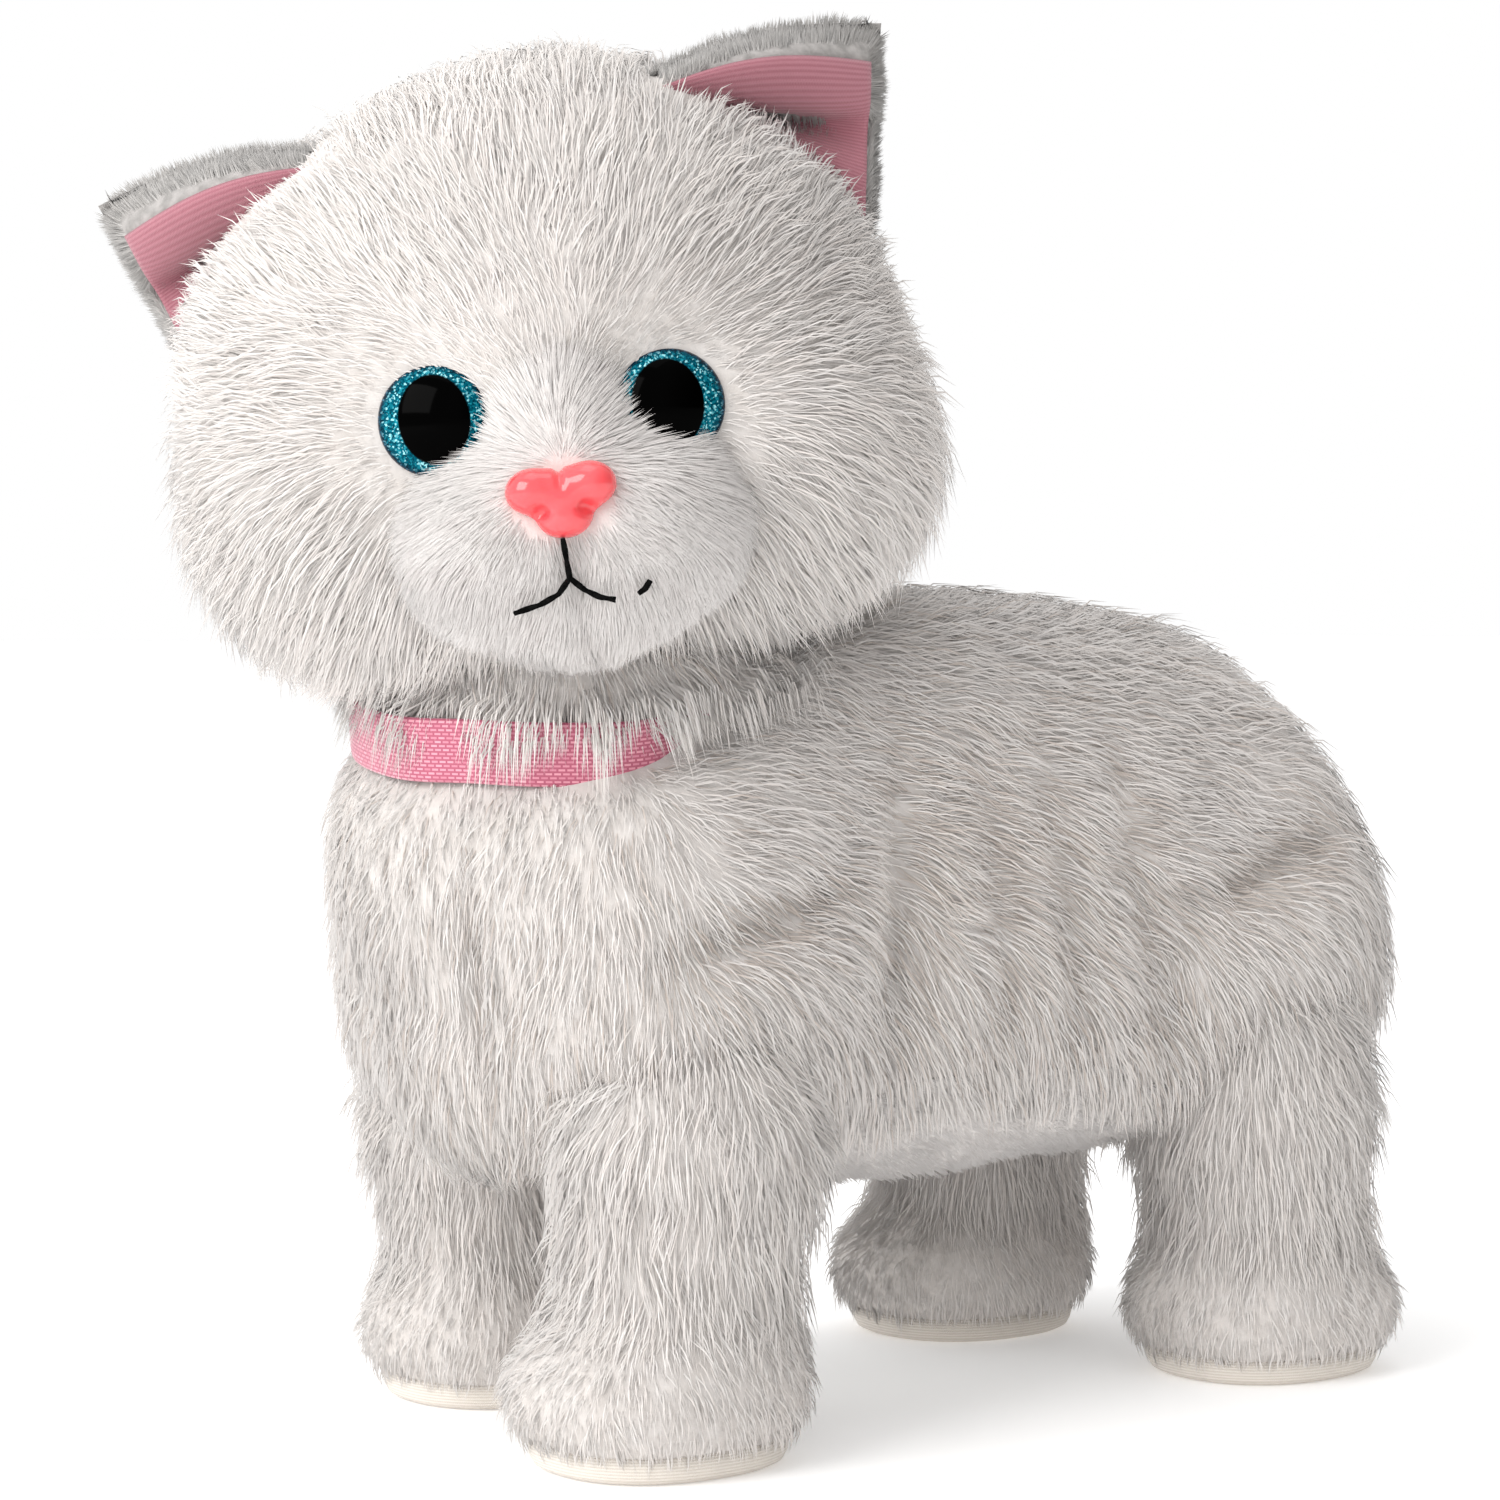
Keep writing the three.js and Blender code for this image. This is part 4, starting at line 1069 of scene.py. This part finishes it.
def surface_forward(side, up, field):
    """How far forward the field's surface lies at a given side and height of the head."""
    forward = np.linspace(30 * MM, 62 * MM, 200)
    level = np.ones_like(forward)
    points = head_place(np.stack([level * side, forward, level * up], -1))
    inside = np.nonzero(field(points) < 0)[0]
    return forward[inside[-1]] if len(inside) else forward[0]


def stitch_line(name, route):
    """A line of thread along (side, up) points: a round cord whose radius swells once for each stitch."""
    route = np.array(route) * MM
    t = np.linspace(0, 1, 60)
    knots = np.linspace(0, 1, len(route))
    side, up = (np.interp(t, knots, route[:, k]) for k in range(2))
    for _ in range(3):
        side[1:-1] = (side[:-2] + side[1:-1] * 2 + side[2:]) / 4
        up[1:-1] = (up[:-2] + up[1:-1] * 2 + up[2:]) / 4
    depth = np.array([surface_forward(s, u, muzzle_field) for s, u in zip(side, up)]) + 2.6 * MM
    line = head_place(np.stack([side, depth, up], -1))
    along = unit(np.gradient(line, axis=0))
    across = unit(np.cross(along, FORWARD))
    over = np.cross(along, across)
    run = np.concatenate([[0], np.cumsum(np.linalg.norm(np.diff(line, axis=0), axis=-1))])
    swell = 0.34 * MM + 0.12 * MM * np.abs(np.sin(run / (1.1 * MM)))
    piece = new_piece(name, *tube(line, swell, across, over, 8), [THREAD])
    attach(piece, "head")


THREAD = mottled("black_thread", (0.001, 0.001, 0.001), (0.006, 0.006, 0.006), 0.9, 0.0008, 0.8,
                 Specular_IOR_Level=0.05)


def make_mouth():
    """Stem below the nose, a curved branch to each side and a short tick at the left corner."""
    stitch_line("mouth_stem", [(-1.5, -24.5), (-1.4, -27.5), (-1.3, -30.6)])
    stitch_line("mouth_branch_right", [(-1.3, -30.3), (-3.2, -32.4), (-6, -33.5), (-9.8, -34.2)])
    stitch_line("mouth_branch_left", [(-1.3, -30.3), (0.6, -32.3), (2.6, -33.6), (4.8, -34.3)])
    stitch_line("mouth_corner", [(8.1, -33.9), (9.2, -33.3), (10.1, -32.2)])


# ---------------------------------------------------------------- eyes and nose


EYE_TURN = 0.2


def make_eye(side):
    """Domed eye: height of the dome is depth * (1 - r^2)^0.6 over a rounded rim, with a disc UV map."""
    sign = 1 if side == "left" else -1
    middle = head_coordinates(EYE_MID[side][None])[0]
    radius, dome = 8.2 * MM, 4.6 * MM
    middle = middle * (0.925, 1, 1) - (0, 0, sign * 1.15 * MM)
    seat = surface_forward(middle[0], middle[2], head_field) + 1.0 * MM
    r = np.concatenate([np.linspace(0.02, 1, 30), [1.0, 0.9]])[:, None]
    b = np.linspace(0, 2 * np.pi, 64, endpoint=False)[None]
    height = dome * np.clip(1 - r**2, 0, 1) ** 0.6
    height[-2:] = [[-1.2 * MM], [-2.6 * MM]]
    x = middle[0] + radius * r * np.cos(b)
    z = middle[2] + radius * r * np.sin(b)
    y = seat + height - EYE_TURN * sign * (x - middle[0])
    grid = head_place(np.stack([x, y, z], -1))
    points, faces = closed_grid(grid)
    flat = np.stack([sign * r * np.cos(b), r * np.sin(b)], -1).reshape(-1, 2)
    flat = np.concatenate([flat, [[0, 0], [0, 0]]])
    uvs = 0.5 + 0.5 * flat
    piece = new_piece("eye_dome_" + side, points, faces, [IRIS], uvs=uvs)
    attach(piece, "head")
    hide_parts("eye_" + side)


IRIS = iris_material()


def nose_field(points):
    """A wide rounded block with two lobes, a narrower tip below, a fine groove and two nostril dents."""
    p = head_coordinates(points) - head_coordinates(NOSE_MID[None])[0] * (1, 0, 1)
    forward = head_coordinates(NOSE_MID[None])[0][1]
    q = p - (0, forward + 6.5 * MM, 0)
    field = ball(q, np.array([0, 0, 0.4]) * MM, np.array([5.2, 3.8, 4.2]) * MM)
    tip = ball(q, np.array([0, 0, -2.9]) * MM, np.array([3.9, 3.5, 2.8]) * MM)
    field = merge_soft(field, tip, 1.2 * MM)
    for side in (-1, 1):
        lobe = ball(q, np.array([side * 4.1, 0.2, 1.6]) * MM, np.array([4.0, 3.9, 3.4]) * MM)
        field = merge_soft(field, lobe, 1.2 * MM)
    field = field + 0.6 * MM * bump(q[..., 0], 0.6 * MM) * step(q[..., 2], 0, 3 * MM)
    for side in (-1, 1):
        nostril = np.linalg.norm((q - np.array([side * 3.3, 2.6, -1.6]) * MM) * (1, 0.7, 1.2), axis=-1)
        field = field + 2.0 * MM * bump(nostril, 1.0 * MM)
    return field


def make_nose():
    """Glossy moulded nose from its field."""
    forward = head_coordinates(NOSE_MID[None])[0]
    centre = np.array([forward[0], forward[1] + 5.5 * MM, forward[2]])
    start, end = head_place(centre - (1 * MM, 0, 0)), head_place(centre + (1 * MM, 0, 0))
    grid = star_surface(nose_field, start, end, 80, 80, 0.014, 80)
    piece = new_piece("nose_moulding", *closed_grid(grid), [NOSE_FINISH])
    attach(piece, "head")
    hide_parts("nose")


NOSE_FINISH = mottled("nose_gloss", (0.90, 0.065, 0.08), (0.95, 0.09, 0.105), 0.14, 0.006, 0.03,
                      Coat_Weight=0.6, Subsurface_Weight=0.15)


# ---------------------------------------------------------------- ears


# An ear's corners in millimetres of the head's side and up, its middle, and the bow of its top edge.
EAR_INNER, EAR_TIP, EAR_OUTER = np.array([23.5, 41.0]), np.array([62.0, 43.0]), np.array([53.5, 12.5])
EAR_MIDDLE = np.array([48.0, 33.0])
EAR_INNER_DROP = np.array([3.5, -8.0])
EAR_BOW = 3.2
EAR_ROLL = np.radians(5.3)


def ear_place(side, forward, up, sign):
    """Points of a symmetric ear in millimetres, mirrored to its side and rolled with its twin."""
    side = side * sign
    turned = side * np.cos(EAR_ROLL) - up * np.sin(EAR_ROLL)
    raised = side * np.sin(EAR_ROLL) + up * np.cos(EAR_ROLL)
    return head_place(np.stack([turned, forward, raised], -1) * MM)


def ear_coordinates(points, sign):
    """The opposite of ear_place: (side, forward, up) of a symmetric ear in millimetres."""
    p = head_coordinates(points) / MM
    side = p[..., 0] * np.cos(EAR_ROLL) + p[..., 2] * np.sin(EAR_ROLL)
    up = p[..., 2] * np.cos(EAR_ROLL) - p[..., 0] * np.sin(EAR_ROLL)
    return np.stack([side * sign, p[..., 1], up], -1)


def ear_share(side):
    """How far out along the ear a point lies: 0 at its inner base, 1 at its tip."""
    return np.clip((side - EAR_INNER[0]) / (EAR_TIP[0] - EAR_INNER[0]), 0, 1)


def ear_lean(side):
    """How far forward the ear's plane stands: most at its inner base, none at its tip."""
    return 15.0 * (1 - ear_share(side)) ** 1.3


def ear_sheet(sign, depth, inset, rows=34, columns=44):
    """A three-cornered leaf: u runs from the inner base to the tip's edge, v from the top edge down.

    The point is (1 - v) * top(u) + v * bottom(u); top bows upwards by a half sine, and depth(u, v)
    sets how far it stands forward of the ear's leaning plane.
    """
    u, v = np.meshgrid(np.linspace(0, 1, columns), np.linspace(0, 1, rows), indexing="xy")
    top = EAR_INNER + (EAR_TIP - EAR_INNER) * u[..., None]
    top[..., 1] += EAR_BOW * np.sin(np.pi * u)
    top[..., 1] -= 5.5 * bump(v - 0.36, 0.11) * np.sin(np.pi * u) ** 0.5
    low_start = EAR_INNER + EAR_INNER_DROP
    bottom = low_start + (EAR_OUTER - low_start) * u[..., None]
    flat = top * (1 - v[..., None]) + bottom * v[..., None]
    flat = EAR_MIDDLE + (flat - EAR_MIDDLE) * inset
    forward = depth(u, v) + ear_lean(flat[..., 0])
    return ear_place(flat[..., 0], forward, flat[..., 1], sign), u, v


def front_depth(u, v):
    """Forward of the ear's face: a rolled lip along the top, a deep hollow beneath it, then level."""
    reach = 0.25 + 0.75 * np.sin(np.pi * np.clip(u, 0, 1)) ** 0.7
    lip = 8.5 * bump(v - 0.2, 0.15) * reach
    hollow = -7.0 * bump(v - 0.52, 0.14) * np.sin(np.pi * np.clip(u * 0.95, 0, 1))
    return lip + hollow + 0.5


def back_depth(u, v):
    """Backward bulge of the ear's outer layer, which comes forward over the top edge."""
    bulge = -5.5 * np.sin(np.pi * np.clip(v, 0, 1)) ** 0.5 * (0.4 + 0.6 * np.sin(np.pi * u) ** 0.5)
    return bulge + 3.0 * bump(v, 0.12) - 2.2


def closed_leaf(front, back):
    """Two sheets with the same grid joined round their edge into one closed skin."""
    rows, columns = front.shape[:2]
    points = np.concatenate([front.reshape(-1, 3), back.reshape(-1, 3)])
    count = rows * columns
    quads = grid_faces(rows, columns, False)
    index = np.arange(count).reshape(rows, columns)
    ring = np.concatenate([index[0, :-1], index[:-1, -1], index[-1, :0:-1], index[:0:-1, 0]])
    after = np.roll(ring, -1)
    edge = np.stack([ring, after, after + count, ring + count], -1)
    faces = [np.concatenate([quads[:, ::-1], quads + count, edge])]
    return points, outward(points, faces)


def make_ear(side):
    """Grey plush outer layer with short pile and a pink knitted lining with a rolled lip."""
    sign = 1 if side == "left" else -1
    front, u, v = ear_sheet(sign, lambda u, v: front_depth(u, v) - 1.4, 1.0)
    back, _, _ = ear_sheet(sign, back_depth, 1.03)
    points, faces = closed_leaf(front, back)
    outer = new_piece("ear_outer_" + side, points, faces, [GREY_BACKING])
    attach(outer, "head")
    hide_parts("ear_back_" + side)

    def weight(middles):
        """Pile on the back, the top edge and the outer rim, none on the lining."""
        p = ear_coordinates(middles, sign)
        share = ear_share(p[:, 0])
        top = EAR_INNER[1] + (EAR_TIP[1] - EAR_INNER[1]) * share + EAR_BOW * np.sin(np.pi * share)
        edge = (p[:, 2] > top - 3.4) | (p[:, 0] > EAR_OUTER[0] + (p[:, 2] - EAR_OUTER[1]) * 0.29 - 2.0)
        behind = p[:, 1] < ear_lean(p[:, 0]) - 3.0
        corner = np.linalg.norm(p[:, [0, 2]] - EAR_TIP, axis=-1) < 2.0
        return ((edge | behind) & ~corner & (head_field(middles) > 0)).astype(float)

    pile = strands("ear_pile_" + side, Skin(points, faces), 11000, even_length(2.6 * MM), ear_comb,
                   GREY_PILE, 61 + sign, weight, lift=1.0, lock=1.2 * MM, hold=0.25, thick=0.14 * MM,
                   sag=0.0, bent=False)
    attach(pile, "head")
    top_row = 6
    face = ear_sheet(sign, front_depth, 0.97)
    wall = ear_sheet(sign, lambda u, v: front_depth(u, v) - 1.2, 0.97)
    lining, u, v = (part[top_row:, :-1] for part in face)
    inner = wall[0][top_row:, :-1]
    points, faces = closed_leaf(lining, inner)
    flat = np.stack([u, v], -1).reshape(-1, 2)
    piece = new_piece("ear_inner_" + side, points, faces, [PINK_KNIT], uvs=np.concatenate([flat, flat]))
    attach(piece, "head")
    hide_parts("ear_lining_" + side)


def ear_comb(points):
    """Pile towards the ear's tip and back."""
    return np.tile(UPWARD * 0.4 - FORWARD * 0.9, (len(points), 1))


PINK_KNIT = knit("ear_knit", (0.35, 0.12, 0.155), (0.46, 0.19, 0.23), 70, 52)


# ---------------------------------------------------------------- collar


def make_collar():
    """Woven band round the neck: a flat ring with rounded edges that waves slightly in and out."""
    thick = 1.3 * MM
    b = np.linspace(0, 2 * np.pi, 240, endpoint=False)
    section = np.linspace(0, 2 * np.pi, 16, endpoint=False)
    out = np.sign(np.cos(section)) * np.abs(np.cos(section)) ** 0.7 * thick / 2
    up = np.sign(np.sin(section)) * np.abs(np.sin(section)) ** 0.35 * COLLAR_WIDTH / 2
    wave = 0.5 * MM * np.sin(b * 5 + 1) + 0.25 * MM * np.sin(b * 11)
    ring = COLLAR_R + 0.6 * MM + wave[:, None] + out[None]
    rise = np.broadcast_to(up[None], ring.shape) + (0.4 * MM * np.sin(b * 4 + 2))[:, None]
    local = np.stack([ring * np.cos(b)[:, None], ring * np.sin(b)[:, None], rise], -1)
    points = (COLLAR_MID + local @ COLLAR_AXES).reshape(-1, 3)
    rows, columns = len(b), len(section)
    quads = grid_faces(rows + 1, columns, True) % (rows * columns)
    u = np.repeat(np.arange(rows) / rows, columns)
    v = np.tile(up / COLLAR_WIDTH + 0.5, rows)
    faces = outward(points - COLLAR_MID, [quads])
    band = new_piece("collar_webbing", points, faces, [webbing("pink_webbing")], uvs=np.stack([u, v], -1))
    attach(band, "body")
    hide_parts("collar_band")


# ---------------------------------------------------------------- tail


def make_tail():
    """Round-ended tube with long pile that leaves the rump and falls along the CAD tail's line.

    Over t from 0 to 1 it goes back by 21 mm * (1 - (1 - t)^4) and drops by t^1.5 of its height.
    """
    low, high, middle = node_box("tail_plush")
    t = np.linspace(0, 1, 60)
    spread = high[2] - low[2]
    line = np.stack([
        np.full_like(t, middle[0]),
        middle[1] + 1.2 * MM - 21 * MM * (1 - t) ** 4,
        high[2] - 6 * MM - (spread - 12 * MM) * t ** 1.5,
    ], -1)
    along = unit(np.gradient(line, axis=0))
    across = np.tile([1.0, 0, 0], (len(t), 1))
    radius = 7.6 * MM * np.clip(1 - np.abs(2 * t - 1) ** 9, 0.03, 1) ** 0.5
    points, faces = tube(line, radius, across, np.cross(along, across), 32)
    piece = new_piece("tail_fabric", points, faces, [SHADED_BACKING])
    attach(piece, "tail")
    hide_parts("tail_plush")
    skin, place = Skin(points, faces), riding("tail")
    long_pile("tail_pile", skin, 1500, even_length(8 * MM), down_comb, 71, everywhere, place)


# ---------------------------------------------------------------- finishes of the carried CAD nodes


def cad_finishes():
    """One procedural finish for each of the record's slots that stays on CAD nodes."""
    return {
        "shell_plastic": mottled("shell_plastic", (0.62, 0.62, 0.58), (0.72, 0.72, 0.69), 0.45, 0.003,
                                 0.15),
        "black_plastic": mottled("black_plastic", (0.015, 0.015, 0.017), (0.035, 0.035, 0.04), 0.5,
                                 0.002, 0.2),
        "gear_plastic": mottled("gear_plastic", (0.78, 0.74, 0.62), (0.88, 0.84, 0.73), 0.35, 0.004, 0.08),
        "steel": mottled("plated_steel", (0.45, 0.46, 0.48), (0.66, 0.67, 0.69), 0.28, 0.002, 0.1,
                         Metallic=1.0),
        "circuit_board": mottled("solder_mask", (0.01, 0.11, 0.04), (0.02, 0.19, 0.07), 0.35, 0.005, 0.1),
        "battery_can": mottled("battery_can", (0.05, 0.055, 0.07), (0.12, 0.13, 0.15), 0.3, 0.01, 0.05),
        "fibre_fill": mottled("fibre_fill", (0.80, 0.79, 0.76), (0.93, 0.92, 0.90), 1.0, 0.003, 0.8),
        "long_pile_plush": SHADED_BACKING,
    }


def finish_cad_nodes():
    """Each carried node takes the finish of its slot."""
    finishes = cad_finishes()
    slots = {row["node"]: row["material_slot"] for row in frame["record"]["subparts"]}
    for name, piece in frame["nodes"].items():
        material = finishes.get(slots[name])
        if material:
            piece.data.materials.clear()
            piece.data.materials.append(material)


# ---------------------------------------------------------------- light, floor and camera


def area_light(name, place, target, size, power, color=(1, 1, 1)):
    """A square soft light at a place, aimed at a target."""
    data = bpy.data.lights.new(name, "AREA")
    data.size = size
    data.energy = power
    data.color = color
    lamp = bpy.data.objects.new(name, data)
    aim(lamp, place, target)
    bpy.context.scene.collection.objects.link(lamp)


def aim(thing, place, target):
    """Places a lamp or camera and turns its -Z axis to the target."""
    thing.location = Vector(place)
    thing.rotation_euler = (Vector(target) - Vector(place)).to_track_quat("-Z", "Y").to_euler()


VIEW_AZIMUTH, VIEW_ELEVATION = np.radians(50.7), np.radians(1.6)
VIEW_DISTANCE, LENS, SENSOR = 0.683, 98.4, 36.0


def make_camera():
    """Long lens on the kitten's left front, at half its height, aimed a little beside its middle."""
    a, e = VIEW_AZIMUTH, VIEW_ELEVATION
    way = np.array([np.sin(a) * np.cos(e), -np.cos(a) * np.cos(e), np.sin(e)])
    right = np.array([np.cos(a), np.sin(a), 0])
    up = np.cross(right, -way)
    middle = np.array([HIPS["front_left"][0], (HIPS["front_left"][1] + HIPS["rear_left"][1]) / 2, 0.110])
    target = middle - right * 18.55 * MM - up * 4.05 * MM
    data = bpy.data.cameras.new("view")
    data.lens = LENS
    data.sensor_width = SENSOR
    data.clip_start = 0.01
    camera = bpy.data.objects.new("view", data)
    aim(camera, middle + way * VIEW_DISTANCE, target)
    bpy.context.scene.collection.objects.link(camera)
    bpy.context.scene.camera = camera
    return middle, right, way, up


def make_world(right):
    """White surroundings that fall to grey on the camera's right, by each direction's share along right."""
    world = bpy.data.worlds.new("studio")
    world.use_nodes = True
    nodes, links = world.node_tree.nodes, world.node_tree.links
    source = nodes.new("ShaderNodeTexCoord")
    share = nodes.new("ShaderNodeVectorMath")
    share.operation = "DOT_PRODUCT"
    share.inputs[1].default_value = tuple(right)
    links.new(source.outputs["Generated"], share.inputs[0])
    shade = ramp(nodes, links, share.outputs["Value"], [(0.28, (1, 1, 1)), (0.85, (0.235, 0.215, 0.20))])
    links.new(shade, nodes["Background"].inputs["Color"])
    bpy.context.scene.world = world


def make_stage():
    """Pale floor, surroundings, a large key light at the camera's left and a weak one overhead."""
    middle, right, way, up = make_camera()
    bpy.ops.mesh.primitive_plane_add(size=30, location=(0, 0, 0))
    floor = bpy.context.object
    floor.name = "floor"
    material, _, _, shader = blank_material("pale_floor", (0.985, 0.985, 0.985), 0.9)
    shader.inputs["Emission Color"].default_value = (1, 1, 1, 1)
    shader.inputs["Emission Strength"].default_value = 0.22
    floor.data.materials.append(material)
    make_world(right)
    key = middle + way * 0.8 - right * 0.75 + up * 0.55
    area_light("key", key, middle, 0.8, 9.0, (1.0, 0.985, 0.97))
    top = middle + way * 0.2 - right * 0.1 + up * 1.1
    area_light("top", top, middle, 0.7, 1.5)
    bpy.context.scene.view_settings.view_transform = "Standard"
    bpy.context.scene.cycles.diffuse_bounces = 5


# ---------------------------------------------------------------- assembly

make_body()
for number, leg_name in enumerate(LEGS):
    make_leg(leg_name, 81 + number)
make_head()
make_muzzle()
make_nose()
for eye_side in ("left", "right"):
    make_eye(eye_side)
    make_ear(eye_side)
make_collar()
make_tail()
finish_cad_nodes()
make_stage()
